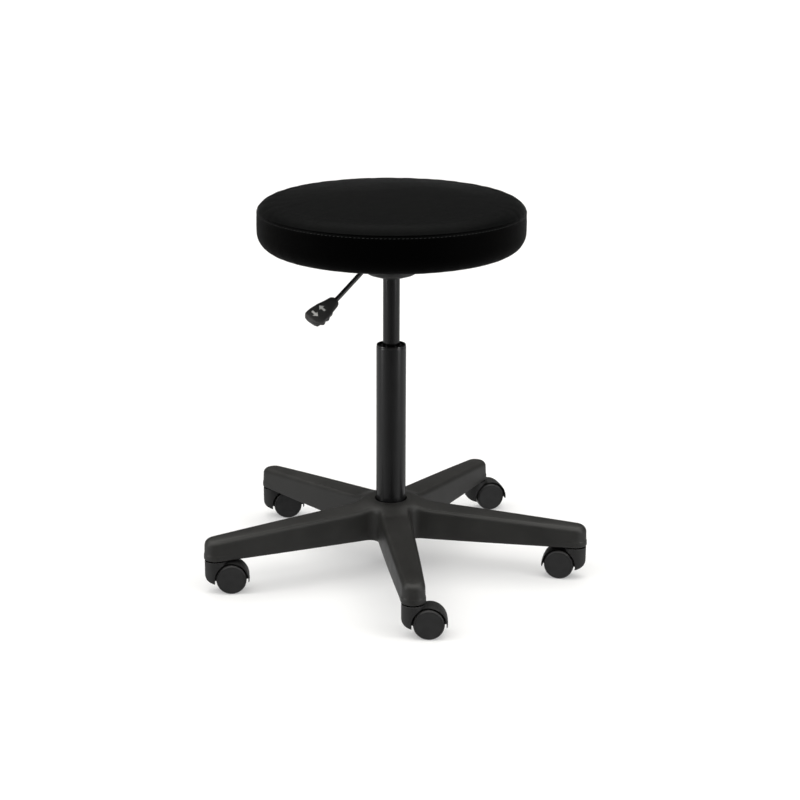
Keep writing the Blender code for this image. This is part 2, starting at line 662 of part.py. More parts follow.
# ---- casters ----------------------------------------------------------------------------
def hood_mesh():
    """The caster's body: a round neck and a hood over both wheels, about the stem's axis."""
    axle_x = CASTER_TRAIL
    axle_z = WHEEL_RADIUS
    neck_x = -CASTER_HALF_WIDTH
    side = [(neck_x, CASTER_TOP), (neck_x, axle_z + 0.0035), (axle_x - 0.0412, axle_z - 0.0008),
            (axle_x - 0.0364, axle_z - 0.0040), (axle_x - 0.0290, axle_z - 0.0066),
            (axle_x - 0.010, axle_z - 0.0085)]
    side += [(axle_x + 0.010, axle_z - 0.0085), (axle_x + HOOD_RADIUS - 0.0012, axle_z - 0.0030)]
    side += arc((axle_x, axle_z), HOOD_RADIUS, 0, 84, 8) + [(axle_x, CASTER_TOP)]
    hood = outline_solid("caster_hood", side, CASTER_HALF_WIDTH)
    hood.data.transform(Matrix.Rotation(pi / 2, 4, "X"))

    far_x = axle_x + HOOD_RADIUS + 0.002
    plan = arc((0, 0), CASTER_HALF_WIDTH, 90, 270, 10)
    plan += [(far_x, -CASTER_HALF_WIDTH), (far_x, CASTER_HALF_WIDTH)]
    plan_form = outline_solid("plan_form", plan, 0.040)
    plan_form.data.transform(Matrix.Translation((0, 0, 0.030)))
    forms = [(plan_form, "INTERSECT")]
    for way in (1, -1):
        well = cylinder("wheel_well", WELL_RADIUS, WEB_HALF, 0.025, 28)
        well.data.transform(Matrix.Translation((axle_x, 0, axle_z))
                            @ Matrix.Rotation(-way * pi / 2, 4, "X"))
        forms.append((well, "DIFFERENCE"))
    axle_hole = cylinder("axle_hole", AXLE_RADIUS + GAP, -0.010, 0.010, 12)
    axle_hole.data.transform(Matrix.Translation((axle_x, 0, axle_z))
                             @ Matrix.Rotation(pi / 2, 4, "X"))
    stem_hole = cylinder("stem_hole", STEM_THICK + 0.0005, STEM_BOTTOM - GAP, 0.060, 12)
    forms += [(axle_hole, "DIFFERENCE"), (stem_hole, "DIFFERENCE")]
    place(hood, None, None)
    for form, operation in forms:
        place(hide(form), None, None, collection=cutters)
        boolean(hood, form, operation)
    return as_mesh(hood, "caster_hood").data


def baked(name, obj):
    """The mesh that an object's modifiers make."""
    place(obj, None, None)
    return as_mesh(obj, name).data


def build_casters():
    hood = hood_mesh()
    facet = pi / WHEEL_SIDES
    rim = WHEEL_RADIUS / cos(facet)
    wheel = baked("wheel", turned("wheel_form", [
        (0.0, WHEEL_OUTER), (rim - 0.0018, WHEEL_OUTER), (rim, WHEEL_OUTER - 0.0014),
        (rim, WHEEL_INNER), (AXLE_RADIUS + 0.0004, WHEEL_INNER),
        (AXLE_RADIUS + 0.0004, 0.0155), (0.0, 0.0155),
    ], sides=WHEEL_SIDES, phase=facet))
    axle = baked("axle", turned("axle_form", [
        (0.0, 0.0150), (AXLE_RADIUS - 0.0005, 0.0150), (AXLE_RADIUS, 0.0145),
        (AXLE_RADIUS, -0.0145), (AXLE_RADIUS - 0.0005, -0.0150), (0.0, -0.0150),
    ], sides=12))
    stem = baked("stem", turned("stem_form", [
        (0.0, STEM_TOP), (0.0045, STEM_TOP), (STEM_THICK, STEM_TOP - 0.0010), (STEM_THICK, 0.0800),
        (0.0046, 0.0800), (0.0046, 0.0740), (STEM_THICK, 0.0740), (STEM_THICK, STEM_BOTTOM),
        (0.0, STEM_BOTTOM),
    ], sides=12))
    grip = baked("grip", turned("grip_form", [
        (0.0059, 0.0790), (0.0059, 0.0750), (0.0050, 0.0743), (0.0050, 0.0797),
    ], ring=True, sides=12))
    for i in range(LEGS):
        angle = leg_angle(i)
        spot = (STEM_RADIUS * cos(angle), STEM_RADIUS * sin(angle), 0)
        n = i + 1
        place(bpy.data.objects.new(f"caster_stem_{n}", stem), STEEL, column_axis, spot)
        place(bpy.data.objects.new(f"grip_ring_{n}", grip), ZINC, column_axis, spot)
        swivel = pivot(f"caster_swivel_axis_{n}", spot, column_axis, (0, 0, CASTER_YAW[i]))
        place(bpy.data.objects.new(f"caster_hood_{n}", hood), CASTER_NYLON, swivel)
        axle_axis = pivot(f"axle_axis_{n}", (CASTER_TRAIL, 0, WHEEL_RADIUS), swivel)
        place(bpy.data.objects.new(f"axle_{n}", axle), STEEL, axle_axis, rotation=(pi / 2, 0, 0))
        for letter, way in (("a", -1), ("b", 1)):
            place(bpy.data.objects.new(f"wheel_{n}{letter}", wheel), TREAD, axle_axis,
                  rotation=(way * pi / 2, 0, 0))


build_base()
build_column()
build_ball_race()
build_piston()
build_cylinder()
build_mechanism()
build_fasteners()
build_seat()
build_lever()
build_casters()
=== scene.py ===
"""Looks of the adjustable swivel stool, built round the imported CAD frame.  Metres, +Z up."""

import json
from math import atan2, cos, hypot, pi, radians, sin, tan

import bmesh
import bpy
import numpy as np
from mathutils import Matrix, Vector


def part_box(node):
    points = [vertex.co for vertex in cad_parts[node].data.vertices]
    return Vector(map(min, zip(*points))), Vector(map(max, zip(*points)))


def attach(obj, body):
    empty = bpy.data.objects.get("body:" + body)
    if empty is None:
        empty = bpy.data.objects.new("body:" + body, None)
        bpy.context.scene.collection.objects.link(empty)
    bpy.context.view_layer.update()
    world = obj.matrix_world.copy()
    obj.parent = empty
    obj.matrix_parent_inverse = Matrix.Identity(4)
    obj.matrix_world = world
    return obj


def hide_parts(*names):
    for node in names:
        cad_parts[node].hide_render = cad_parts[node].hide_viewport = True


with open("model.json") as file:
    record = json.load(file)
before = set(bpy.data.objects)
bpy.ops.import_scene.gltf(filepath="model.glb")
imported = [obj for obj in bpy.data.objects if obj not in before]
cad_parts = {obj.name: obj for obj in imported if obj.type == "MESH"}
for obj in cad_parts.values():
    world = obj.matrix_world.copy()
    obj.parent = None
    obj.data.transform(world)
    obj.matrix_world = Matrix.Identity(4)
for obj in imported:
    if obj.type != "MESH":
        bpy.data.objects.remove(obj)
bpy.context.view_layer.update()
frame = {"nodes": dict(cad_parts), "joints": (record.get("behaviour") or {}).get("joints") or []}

JOINT = {j["name"]: j for j in frame["joints"]}
CASTERS = range(1, 6)


def middle(node):
    low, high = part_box(node)
    return (low + high) / 2


def half_span(node):
    """Half of a node's extent along X, which is the radius of a round one."""
    low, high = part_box(node)
    return (high.x - low.x) / 2


AXIS = middle("column_tube")
LEVER_WAY = atan2(JOINT["lever_lift"]["pos_m"][1] - AXIS.y, JOINT["lever_lift"]["pos_m"][0] - AXIS.x)
AXIS.z = 0.0
RNG = np.random.default_rng(7)

# ---- small tools ------------------------------------------------------------------------


def clamp(value):
    return min(1.0, max(0.0, value))


def placed(name, data):
    """A new object with the given data, in the scene."""
    obj = bpy.data.objects.new(name, data)
    bpy.context.scene.collection.objects.link(obj)
    return obj


def add_mesh(name, points, faces, finish, sharp=35):
    """A mesh object, smooth except at edges sharper than the given angle."""
    mesh = bpy.data.meshes.new(name)
    mesh.from_pydata([tuple(p) for p in points], [], faces)
    mesh.validate()
    obj = placed(name, mesh)
    tidy(obj, sharp=sharp)
    mesh.materials.append(finish)
    return obj


def tidy(obj, merge=2e-6, sharp=35):
    """Welds, makes normals point out and sets the shading."""
    bm = bmesh.new()
    bm.from_mesh(obj.data)
    bmesh.ops.remove_doubles(bm, verts=bm.verts, dist=merge)
    bmesh.ops.dissolve_degenerate(bm, edges=bm.edges, dist=merge)
    bmesh.ops.recalc_face_normals(bm, faces=bm.faces)
    bm.to_mesh(obj.data)
    bm.free()
    obj.data.shade_smooth()
    obj.data.set_sharp_from_angle(angle=radians(sharp))


def grid_faces(rows, columns, wrap_rows=False, wrap_columns=False, start=0):
    """Quads over a grid of points numbered row by row."""
    faces = []
    for i in range(rows if wrap_rows else rows - 1):
        for j in range(columns if wrap_columns else columns - 1):
            a = start + i * columns + j
            b = start + i * columns + (j + 1) % columns
            c = start + ((i + 1) % rows) * columns + (j + 1) % columns
            d = start + ((i + 1) % rows) * columns + j
            faces.append((a, b, c, d))
    return faces


def loft_faces(rows, sides, start=0):
    """Faces of a closed bar: rings of points numbered one after another, and both ends."""
    faces = grid_faces(rows, sides, wrap_columns=True, start=start)
    faces.append(tuple(start + k for k in range(sides)))
    faces.append(tuple(start + (rows - 1) * sides + k for k in reversed(range(sides))))
    return faces


def rounded(corners, steps=4):
    """A path through (x, z, radius) corners, each one rounded by an arc-like bend."""
    points = []
    for k, (x, z, reach) in enumerate(corners):
        spot = np.array((x, z))
        if reach == 0:
            points.append(spot)
            continue
        before = np.array(corners[k - 1][:2])
        after = np.array(corners[(k + 1) % len(corners)][:2])
        into = spot + (before - spot) / np.linalg.norm(before - spot) * reach
        out = spot + (after - spot) / np.linalg.norm(after - spot) * reach
        for n in range(steps + 1):
            t = n / steps
            points.append(into * (1 - t) ** 2 + spot * 2 * t * (1 - t) + out * t * t)
    return points


def lathe(name, profile, finish, sides=96, ring=True, sharp=35):
    """A (radius, height) profile turned about Z.  Points on the axis close the shape."""
    count = len(profile)
    turn = np.arange(sides) * 2 * pi / sides
    points = [(r * cos(a), r * sin(a), z) for a in turn for r, z in profile]
    faces = grid_faces(sides, count, wrap_rows=True, wrap_columns=ring)
    return add_mesh(name, points, faces, finish, sharp)


def plug(name, radius, high, low, finish, sides):
    """A plain cylinder about Z, to cut a round hole with."""
    return lathe(name, [(0, high), (radius, high), (radius, low), (0, low)], finish, sides, ring=False)


def boolean(obj, other, operation="DIFFERENCE"):
    """Cuts or joins obj with another object, applies it and removes the other."""
    step = obj.modifiers.new("cut", "BOOLEAN")
    step.operation = operation
    step.solver = "EXACT"
    step.object = other
    apply_modifiers(obj)
    bpy.data.objects.remove(other, do_unlink=True)


def apply_modifiers(obj):
    """Makes what the modifiers show the object's own mesh."""
    bpy.context.view_layer.update()
    graph = bpy.context.evaluated_depsgraph_get()
    mesh = bpy.data.meshes.new_from_object(obj.evaluated_get(graph))
    obj.modifiers.clear()
    obj.data = mesh


def thicken(obj, thickness, offset):
    """Gives a sheet its thickness and applies all its modifiers."""
    step = obj.modifiers.new("thickness", "SOLIDIFY")
    step.thickness = thickness
    step.offset = offset
    apply_modifiers(obj)


def bevel(obj, width, segments, angle):
    """Rounds the edges sharper than an angle, with a modifier that stays to be applied."""
    step = obj.modifiers.new("edges", "BEVEL")
    step.width = width
    step.segments = segments
    step.limit_method = "ANGLE"
    step.angle_limit = radians(angle)
    step.harden_normals = True


def prism(name, outline, low, high, finish):
    """An outline of (x, y) points between two heights."""
    count = len(outline)
    points = [(x, y, low) for x, y in outline] + [(x, y, high) for x, y in outline]
    faces = [tuple(range(count)), tuple(range(2 * count - 1, count - 1, -1))]
    for k in range(count):
        n = (k + 1) % count
        faces.append((k, k + count, n + count, n))
    return add_mesh(name, points, faces, finish)


def arc(centre, radius, start, end, steps):
    """Points on an arc between two angles in degrees."""
    angles = [radians(start + (end - start) * k / steps) for k in range(steps + 1)]
    return [(centre[0] + radius * cos(a), centre[1] + radius * sin(a)) for a in angles]


def seat_piece(obj, body, slot, *nodes):
    """Rides a finished piece on its body and lets it stand for CAD nodes."""
    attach(obj, body)
    if nodes:
        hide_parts(*nodes)


def at_axis(obj):
    obj.location = (AXIS.x, AXIS.y, 0)
    return obj


# ---- materials --------------------------------------------------------------------------


class Finish:
    """A Principled material with node-built colour, roughness and relief."""

    def __init__(self, name, specular=0.5):
        self.made = bpy.data.materials.new(name)
        self.made.use_nodes = True
        self.nodes = self.made.node_tree.nodes
        self.links = self.made.node_tree.links
        self.shader = self.nodes["Principled BSDF"]
        self.shader.inputs["Specular IOR Level"].default_value = specular
        self.place = self.nodes.new("ShaderNodeTexCoord").outputs["Object"]
        self.relief = None

    def put(self, socket, value):
        self.shader.inputs[socket].default_value = value

    def stretched(self, scale):
        node = self.nodes.new("ShaderNodeMapping")
        node.inputs["Scale"].default_value = scale
        self.links.new(self.place, node.inputs["Vector"])
        return node.outputs["Vector"]

    def noise(self, scale, detail=3.0, rough=0.5, where=None, distortion=0.0):
        node = self.nodes.new("ShaderNodeTexNoise")
        node.inputs["Scale"].default_value = scale
        node.inputs["Detail"].default_value = detail
        node.inputs["Roughness"].default_value = rough
        node.inputs["Distortion"].default_value = distortion
        self.links.new(where or self.place, node.inputs["Vector"])
        return node.outputs["Fac"]

    def cells(self, scale, feature="F1", where=None):
        node = self.nodes.new("ShaderNodeTexVoronoi")
        node.feature = feature
        node.inputs["Scale"].default_value = scale
        self.links.new(where or self.place, node.inputs["Vector"])
        return node.outputs["Distance"]

    def spread(self, value, low, high, to_low=0.0, to_high=1.0):
        node = self.nodes.new("ShaderNodeMapRange")
        for socket, number in (("From Min", low), ("From Max", high),
                               ("To Min", to_low), ("To Max", to_high)):
            node.inputs[socket].default_value = number
        self.links.new(value, node.inputs["Value"])
        return node.outputs["Result"]

    def noisy(self, noise, low=0.0, high=1.0):
        """A noise's usual values, 0.3 to 0.7, spread from low to high."""
        return self.spread(noise, 0.3, 0.7, low, high)

    def maths(self, operation, one, two):
        node = self.nodes.new("ShaderNodeMath")
        node.operation = operation
        for socket, value in zip(node.inputs, (one, two)):
            if isinstance(value, (int, float)):
                socket.default_value = value
            else:
                self.links.new(value, socket)
        return node.outputs[0]

    def mix(self, share, one, two):
        node = self.nodes.new("ShaderNodeMix")
        node.data_type = "RGBA"
        self.links.new(share, node.inputs["Factor"])
        for socket, colour in ((node.inputs[6], one), (node.inputs[7], two)):
            if isinstance(colour, tuple):
                socket.default_value = (*colour, 1.0)
            else:
                self.links.new(colour, socket)
        return node.outputs[2]

    def colour(self, value):
        self.links.new(value, self.shader.inputs["Base Color"])

    def shades(self, noise, colour, darker, lighter):
        """Colours the surface with two shades of one colour, mixed by a noise."""
        self.colour(self.mix(self.noisy(noise), shade(colour, darker), shade(colour, lighter)))

    def rough(self, value):
        self.links.new(value, self.shader.inputs["Roughness"])

    def bump(self, height, depth, strength=1.0):
        """Adds relief of the given depth in metres on top of what is there."""
        node = self.nodes.new("ShaderNodeBump")
        node.inputs["Distance"].default_value = depth
        node.inputs["Strength"].default_value = strength
        self.links.new(height, node.inputs["Height"])
        if self.relief is not None:
            self.links.new(self.relief, node.inputs["Normal"])
        self.relief = node.outputs["Normal"]
        self.links.new(self.relief, self.shader.inputs["Normal"])


def shade(colour, factor):
    return tuple(c * factor for c in colour)


def plastic(name, colour, roughness, grain=2600, depth=0.00004, specular=0.4, patch=22):
    """Moulded plastic with a fine spark-eroded grain and faint flow marks."""
    f = Finish(name, specular)
    flow = f.noise(patch, 4, 0.55, distortion=0.4)
    fine = f.noise(grain, 2, 0.6)
    f.shades(flow, colour, 0.86, 1.16)
    f.rough(f.maths("ADD", f.noisy(flow, roughness - 0.05, roughness + 0.05),
                    f.noisy(fine, -0.04, 0.04)))
    f.bump(fine, depth)
    f.bump(f.noise(170, 2, 0.5), 0.00006)
    return f


def painted(name, colour, roughness, peel=900, depth=0.000025):
    """Powder coat on steel: orange peel, and a few fine specks of dust."""
    f = Finish(name, 0.5)
    broad = f.noise(35, 3, 0.5)
    f.shades(broad, colour, 0.88, 1.14)
    specks = f.spread(f.cells(420), 0.02, 0.10, 0.05, 0.0)
    f.rough(f.maths("ADD", f.noisy(broad, roughness - 0.01, roughness + 0.02), specks))
    f.bump(f.noise(peel, 2, 0.45), depth)
    return f


def metal(name, colour, roughness, stretch=(1, 1, 40), lines=900, depth=0.000012):
    """Drawn, turned or plated metal with fine lines along one way."""
    f = Finish(name, 0.5)
    f.put("Metallic", 1.0)
    marks = f.noise(lines, 2, 0.6, where=f.stretched(stretch))
    cloud = f.noise(60, 3, 0.5)
    f.shades(cloud, colour, 0.86, 1.06)
    f.rough(f.noisy(marks, roughness * 0.75, roughness * 1.3))
    f.bump(marks, depth)
    return f


def vinyl_finish():
    """Fine-grained vinyl: small pebbles between creases, over a soft mottling, with painted shade that
    darkens the sides and underside.
    """
    f = Finish("black_vinyl", 0.04)
    mottle = f.noise(14, 4, 0.55, distortion=0.3)
    warped = f.nodes.new("ShaderNodeVectorMath")
    warped.operation = "ADD"
    shift = f.nodes.new("ShaderNodeTexNoise")
    shift.inputs["Scale"].default_value = 320
    f.links.new(f.place, shift.inputs["Vector"])
    small = f.nodes.new("ShaderNodeVectorMath")
    small.operation = "SCALE"
    small.inputs["Scale"].default_value = 0.0012
    f.links.new(shift.outputs["Color"], small.inputs[0])
    f.links.new(f.place, warped.inputs[0])
    f.links.new(small.outputs[0], warped.inputs[1])
    pebbles = f.cells(850, "DISTANCE_TO_EDGE", warped.outputs[0])
    creases = f.spread(pebbles, 0.0, 0.16)
    # paler and shinier where it faces up, as painted shade and painted sheen: the colour and the reflection
    # strength follow the surface's upward tilt, as if lit from above; in the photograph the sides are
    # nearly black
    upward = f.nodes.new("ShaderNodeSeparateXYZ")
    f.links.new(f.nodes.new("ShaderNodeNewGeometry").outputs["Normal"], upward.inputs[0])
    crown = f.spread(upward.outputs["Z"], 0.05, 0.45)
    dark, light = (0.0002, 0.0002, 0.0002), (0.0008, 0.0011, 0.0011)
    f.colour(f.mix(f.maths("MULTIPLY", crown, f.noisy(mottle, 0.6, 1.0)), dark, light))
    # painted sheen: the reflection strength rises where the surface faces up
    f.links.new(f.spread(upward.outputs["Z"], 0.05, 0.45, 0.004, 0.036),
                f.shader.inputs["Specular IOR Level"])
    f.rough(f.maths("ADD", f.noisy(mottle, 0.34, 0.42),
                    f.spread(creases, 0, 1, 0.12, 0.0)))
    f.bump(creases, 0.00007, 0.8)
    f.bump(f.noise(2400, 2, 0.5), 0.00002)
    f.bump(f.noise(60, 3, 0.5), 0.00030, 0.5)
    f.put("Sheen Weight", 0.02)
    f.put("Sheen Roughness", 0.5)
    return f.made


def foam_finish():
    """Cut foam: small open cells and a soft yellow cloudiness."""
    f = Finish("cream_foam", 0.2)
    holes = f.cells(900)
    cloud = f.noise(30, 3)
    f.colour(f.mix(f.noisy(cloud), (0.62, 0.53, 0.33), (0.76, 0.68, 0.46)))
    f.rough(f.spread(holes, 0.0, 0.6, 0.98, 0.85))
    f.bump(holes, 0.0004)
    return f.made


def plywood_finish():
    """Birch ply: grain on the faces and thin layers on the edge."""
    f = Finish("birch_plywood", 0.3)
    grain = f.noise(26, 5, 0.6, where=f.stretched((1, 14, 1)), distortion=0.6)
    layers = f.nodes.new("ShaderNodeTexWave")
    layers.bands_direction = "Z"
    layers.inputs["Scale"].default_value = 130
    layers.inputs["Distortion"].default_value = 0.6
    f.links.new(f.place, layers.inputs["Vector"])
    pale = f.mix(f.noisy(grain), (0.46, 0.31, 0.17), (0.62, 0.45, 0.27))
    share = f.spread(layers.outputs["Fac"], 0.35, 0.65, 0.0, 0.35)
    f.colour(f.mix(share, pale, (0.25, 0.15, 0.08)))
    f.rough(f.noisy(grain, 0.62, 0.78))
    f.bump(grain, 0.00015)
    return f.made


def cloth_finish():
    """Non-woven dust cloth: matted fibres and a dotted bond pattern."""
    f = Finish("black_dust_cloth", 0.15)
    fibres = f.noise(700, 4, 0.7, where=f.stretched((1, 3.5, 1)), distortion=1.2)
    dots = f.spread(f.cells(560), 0.15, 0.35)
    f.colour(f.mix(fibres, (0.010, 0.010, 0.011), (0.030, 0.030, 0.032)))
    f.rough(f.noisy(fibres, 0.85, 0.98))
    f.bump(f.maths("MULTIPLY", fibres, dots), 0.00018)
    f.put("Sheen Weight", 0.15)
    return f.made


def wheel_finish():
    """Hard nylon wheel: moulded grain, and a dull, faintly dusty and scuffed tread."""
    f = plastic("wheel_nylon", (0.0185, 0.0185, 0.0190), 0.50, specular=0.4, patch=60)
    base = f.shader.inputs["Base Color"].links[0].from_socket
    length = f.nodes.new("ShaderNodeVectorMath")
    length.operation = "LENGTH"
    flat = f.stretched((1, 1, 0))
    f.links.new(flat, length.inputs[0])
    rim = f.spread(length.outputs["Value"], 0.0236, 0.0248)
    scuffs = f.spread(f.noise(240, 4, 0.7, distortion=1.0), 0.45, 0.75, 0.0, 0.8)
    f.colour(f.mix(f.maths("MULTIPLY", rim, scuffs), base, (0.060, 0.056, 0.050)))
    return f.made


BASE_NYLON = plastic("base_nylon", (0.0185, 0.0182, 0.0170), 0.47, grain=2200).made
CASTER_NYLON = plastic("caster_nylon", (0.0175, 0.0175, 0.0175), 0.52, specular=0.35).made
HANDLE_NYLON = plastic("handle_nylon", (0.034, 0.033, 0.033), 0.36, grain=3000).made
BUSH_NYLON = plastic("bush_nylon", (0.008, 0.008, 0.008), 0.25).made
ACETAL = plastic("white_acetal", (0.70, 0.70, 0.67), 0.42).made
WHEEL_NYLON = wheel_finish()
RUBBER = plastic("nitrile_rubber", (0.012, 0.012, 0.012), 0.75, specular=0.25).made
TUBE_PAINT = painted("tube_powder_coat", (0.006, 0.006, 0.0062), 0.24, depth=0.000006).made
CYLINDER_PAINT = painted("cylinder_black", (0.004, 0.004, 0.0042), 0.15, peel=500,
                         depth=0.000003).made
HOUSING_PAINT = painted("housing_powder_coat", (0.018, 0.018, 0.018), 0.42, peel=700).made
LEVER_PAINT = painted("lever_black", (0.010, 0.010, 0.010), 0.30).made
STEEL = metal("ground_steel", (0.60, 0.60, 0.62), 0.18, stretch=(40, 40, 1)).made
BEARING = metal("bearing_steel", (0.62, 0.62, 0.63), 0.14, stretch=(1, 1, 1)).made
ZINC = metal("zinc_plate", (0.60, 0.60, 0.57), 0.34, stretch=(1, 1, 1), lines=400).made
STAPLE = metal("staple_wire", (0.55, 0.55, 0.55), 0.25, lines=2000).made
VINYL = vinyl_finish()
FOAM = foam_finish()
PLYWOOD = plywood_finish()
DUST_CLOTH = cloth_finish()
THREAD = plastic("black_thread", (0.006, 0.0065, 0.0065), 0.6, grain=5000, depth=0.0001).made
INK = plastic("pale_ink", (0.62, 0.62, 0.60), 0.5, grain=3000, depth=0.00001).made

# ---- seat -------------------------------------------------------------------------------
COVER_LOW, COVER_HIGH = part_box("seat_cover")
SEAT_RADIUS = half_span("seat_cover")
CROWN_Z = COVER_HIGH.z
UNDER_Z = COVER_LOW.z
SEAM_DROP = 0.0305                  # the seam's depth under the crown
SHOULDER_DROP = 0.0143
SHOULDER_RADIUS = 0.1880            # where the flat crown turns into the shoulder
SHOULDER_HALF = (0.0335, 0.0227)    # the shoulder's half axes
SEAM_IN = 0.0010                    # the seam lies this far inside the side's widest ring
BULGE_Z = 0.6000                    # where the side is widest
CORNER = 0.0304
HEM_RADIUS = 0.165
SEAT_SIDES = 192
PUFF = 0.0022                       # how far the cover swells
CREASE = 0.0012                     # what the simulation's creases are cut at
CREASE_SHARE = 0.25                 # how much of that depth is kept
SEAM_PRESS = 0.0013                 # how far the seam lies in the padding
VINYL_THICK = 0.0013
FOAM_GAP = 0.0040


def seat_rings():
    """The seat's side view: (radius, height, name of the stretch)."""
    seam_r = SEAT_RADIUS - SEAM_IN
    seam_z = CROWN_Z - SEAM_DROP
    shoulder_z = CROWN_Z - SHOULDER_DROP
    across, down = SHOULDER_HALF
    rings = []
    for share in np.linspace(0.03, 0.97, 22):
        rings.append((SHOULDER_RADIUS * share, shoulder_z + SHOULDER_DROP * (1 - share ** 2), "top"))
    centre_z = shoulder_z - down
    lowest = atan2((seam_z - centre_z) / down, (seam_r - SHOULDER_RADIUS) / across)
    for k in range(12):
        a = pi / 2 + (lowest - pi / 2) * k / 12
        rings.append((SHOULDER_RADIUS + across * cos(a), centre_z + down * sin(a), "top"))
    rings.append((seam_r - 0.0004, seam_z + 0.0016, "top"))
    rings.append((seam_r, seam_z, "seam"))
    corner_z = UNDER_Z + CORNER
    first_z = seam_z - 0.0016
    for k in range(10):
        t = k / 9
        z = first_z - (first_z - corner_z) * t
        swell = SEAM_IN * min(1.0, (first_z - z) / (first_z - BULGE_Z)) ** 0.5
        rings.append((seam_r + swell, z, "side"))
    for r, z in arc((SEAT_RADIUS - CORNER, corner_z), CORNER, 0, -90, 11)[1:]:
        rings.append((r, z, "side"))
    for k in range(1, 7):
        rings.append((SEAT_RADIUS - CORNER - (SEAT_RADIUS - CORNER - HEM_RADIUS) * k / 6,
                      UNDER_Z, "hem"))
    return rings


def way_out(before, after):
    """The way out of a profile, from the (radius, height) points on both sides of one."""
    return Vector((before[1] - after[1], after[0] - before[0])).normalized()


def simulate(obj, pinned, frames=20):
    """Swells the cover with pressure, held at its seam and hem, and returns how its points moved."""
    group = obj.vertex_groups.new(name="pinned")
    group.add(pinned, 1.0, "REPLACE")
    cloth = obj.modifiers.new("cloth", "CLOTH")
    cloth.settings.quality = 6
    cloth.settings.mass = 0.4
    cloth.settings.tension_stiffness = 20
    cloth.settings.compression_stiffness = 20
    cloth.settings.shear_stiffness = 10
    cloth.settings.bending_stiffness = 1.5
    cloth.settings.use_pressure = True
    cloth.settings.uniform_pressure_force = 4.0
    cloth.settings.vertex_group_mass = "pinned"
    cloth.settings.effector_weights.gravity = 0
    cloth.point_cache.frame_start = 1
    cloth.point_cache.frame_end = frames
    scene = bpy.context.scene
    rest = np.array([v.co for v in obj.data.vertices])
    for step in range(1, frames + 1):
        scene.frame_set(step)
    apply_modifiers(obj)
    obj.vertex_groups.clear()
    moved = np.array([v.co for v in obj.data.vertices]) - rest
    scene.frame_set(1)
    return moved


def waves(angle, count, seed):
    """A smooth random wave round the seat, from -1 to 1."""
    rng = np.random.default_rng(seed)
    total = np.zeros_like(angle)
    for n in rng.integers(int(count * 0.6), int(count * 1.5), 6):
        total += np.sin(n * angle + rng.uniform(0, 2 * pi)) / 3
    return np.clip(total, -1.2, 1.2)


def build_cushion():
    """The upholstery: the seat's profile with the simulation's creases, puckers and pleats."""
    rings = seat_rings()
    turn = np.arange(SEAT_SIDES) * 2 * pi / SEAT_SIDES
    inset = PUFF
    points = [(0.0, 0.0, CROWN_Z - inset)]
    full = [(0.0, 0.0, CROWN_Z)]
    for k, (r, z, part) in enumerate(rings):
        way = way_out(rings[max(k - 1, 0)], rings[min(k + 1, len(rings) - 1)])
        pressed = SEAM_PRESS if part == "seam" else 0.0
        tight = pressed + (inset if part in ("top", "side") else 0.0)
        for depth, form in ((pressed, full), (tight, points)):
            form.extend(((r - way[0] * depth) * cos(a), (r - way[0] * depth) * sin(a), z - way[1] * depth)
                        for a in turn)
    count = len(rings)
    faces = [(0, 1 + k, 1 + (k + 1) % SEAT_SIDES) for k in range(SEAT_SIDES)]
    faces += grid_faces(count, SEAT_SIDES, wrap_columns=True, start=1)
    cushion = add_mesh("seat_upholstery", points, faces, VINYL, sharp=180)
    co = np.array(full)
    parts = ["top"] + [part for _, _, part in rings for _ in turn]
    moved = simulate(cushion, [i for i, part in enumerate(parts) if part in ("seam", "hem")])
    out = np.stack([np.cos(turn), np.sin(turn)], axis=1)
    for k in range(count):
        ring = slice(1 + k * SEAT_SIDES, 1 + (k + 1) * SEAT_SIDES)
        radial = (moved[ring, :2] * out).sum(axis=1)
        radial = np.clip(radial - radial.mean(), -CREASE, CREASE)
        rise = np.clip(moved[ring, 2] - moved[ring, 2].mean(), -CREASE, CREASE)
        share = CREASE_SHARE * min(1.0, rings[k][0] / 0.14) ** 2
        co[ring, :2] += out * radial[:, None] * share
        co[ring, 2] += rise * share
    angle = np.arctan2(co[:, 1], co[:, 0])
    radius = np.hypot(co[:, 0], co[:, 1])
    seam_z = CROWN_Z - SEAM_DROP
    # small puckers that fade away from the seam, and soft pleats where the cover turns under
    near_seam = np.exp(-((co[:, 2] - seam_z) / 0.010) ** 2) * (radius > SEAT_RADIUS - 0.030)
    low = np.clip((UNDER_Z + 0.034 - co[:, 2]) / 0.030, 0, 1) * np.clip((radius - 0.150) / 0.05, 0, 1)
    push = 0.00022 * near_seam * waves(angle, 74, 3) + 0.0004 * low * waves(angle, 40, 5)
    push += 0.0007 * np.sin(np.clip(radius / 0.19, 0, 1) * pi) ** 2 * np.sin(angle * 2 + 0.7)
    outward = np.stack([co[:, 0] / np.maximum(radius, 1e-6), co[:, 1] / np.maximum(radius, 1e-6),
                        np.zeros(len(co))], axis=1)
    tilt = np.clip((radius - 0.150) / 0.060, 0, 1)[:, None]
    flat = np.array([[0, 0, 1.0]]) * np.where(co[:, 2] > seam_z, 1, -0.4)[:, None]
    co += push[:, None] * (outward * tilt + flat * (1 - tilt))
    co[:, 2] = np.clip(co[:, 2], UNDER_Z - 0.0010, CROWN_Z + 0.0015)
    cushion.data.vertices.foreach_set("co", co.astype(np.float32).ravel())
    finer = cushion.modifiers.new("finer", "SUBSURF")
    finer.levels = 1
    finer.render_levels = 1
    thicken(cushion, VINYL_THICK, -1)
    tidy(cushion, sharp=60)
    at_axis(cushion)
    seat_piece(cushion, "seat", "vinyl", "seat_cover")


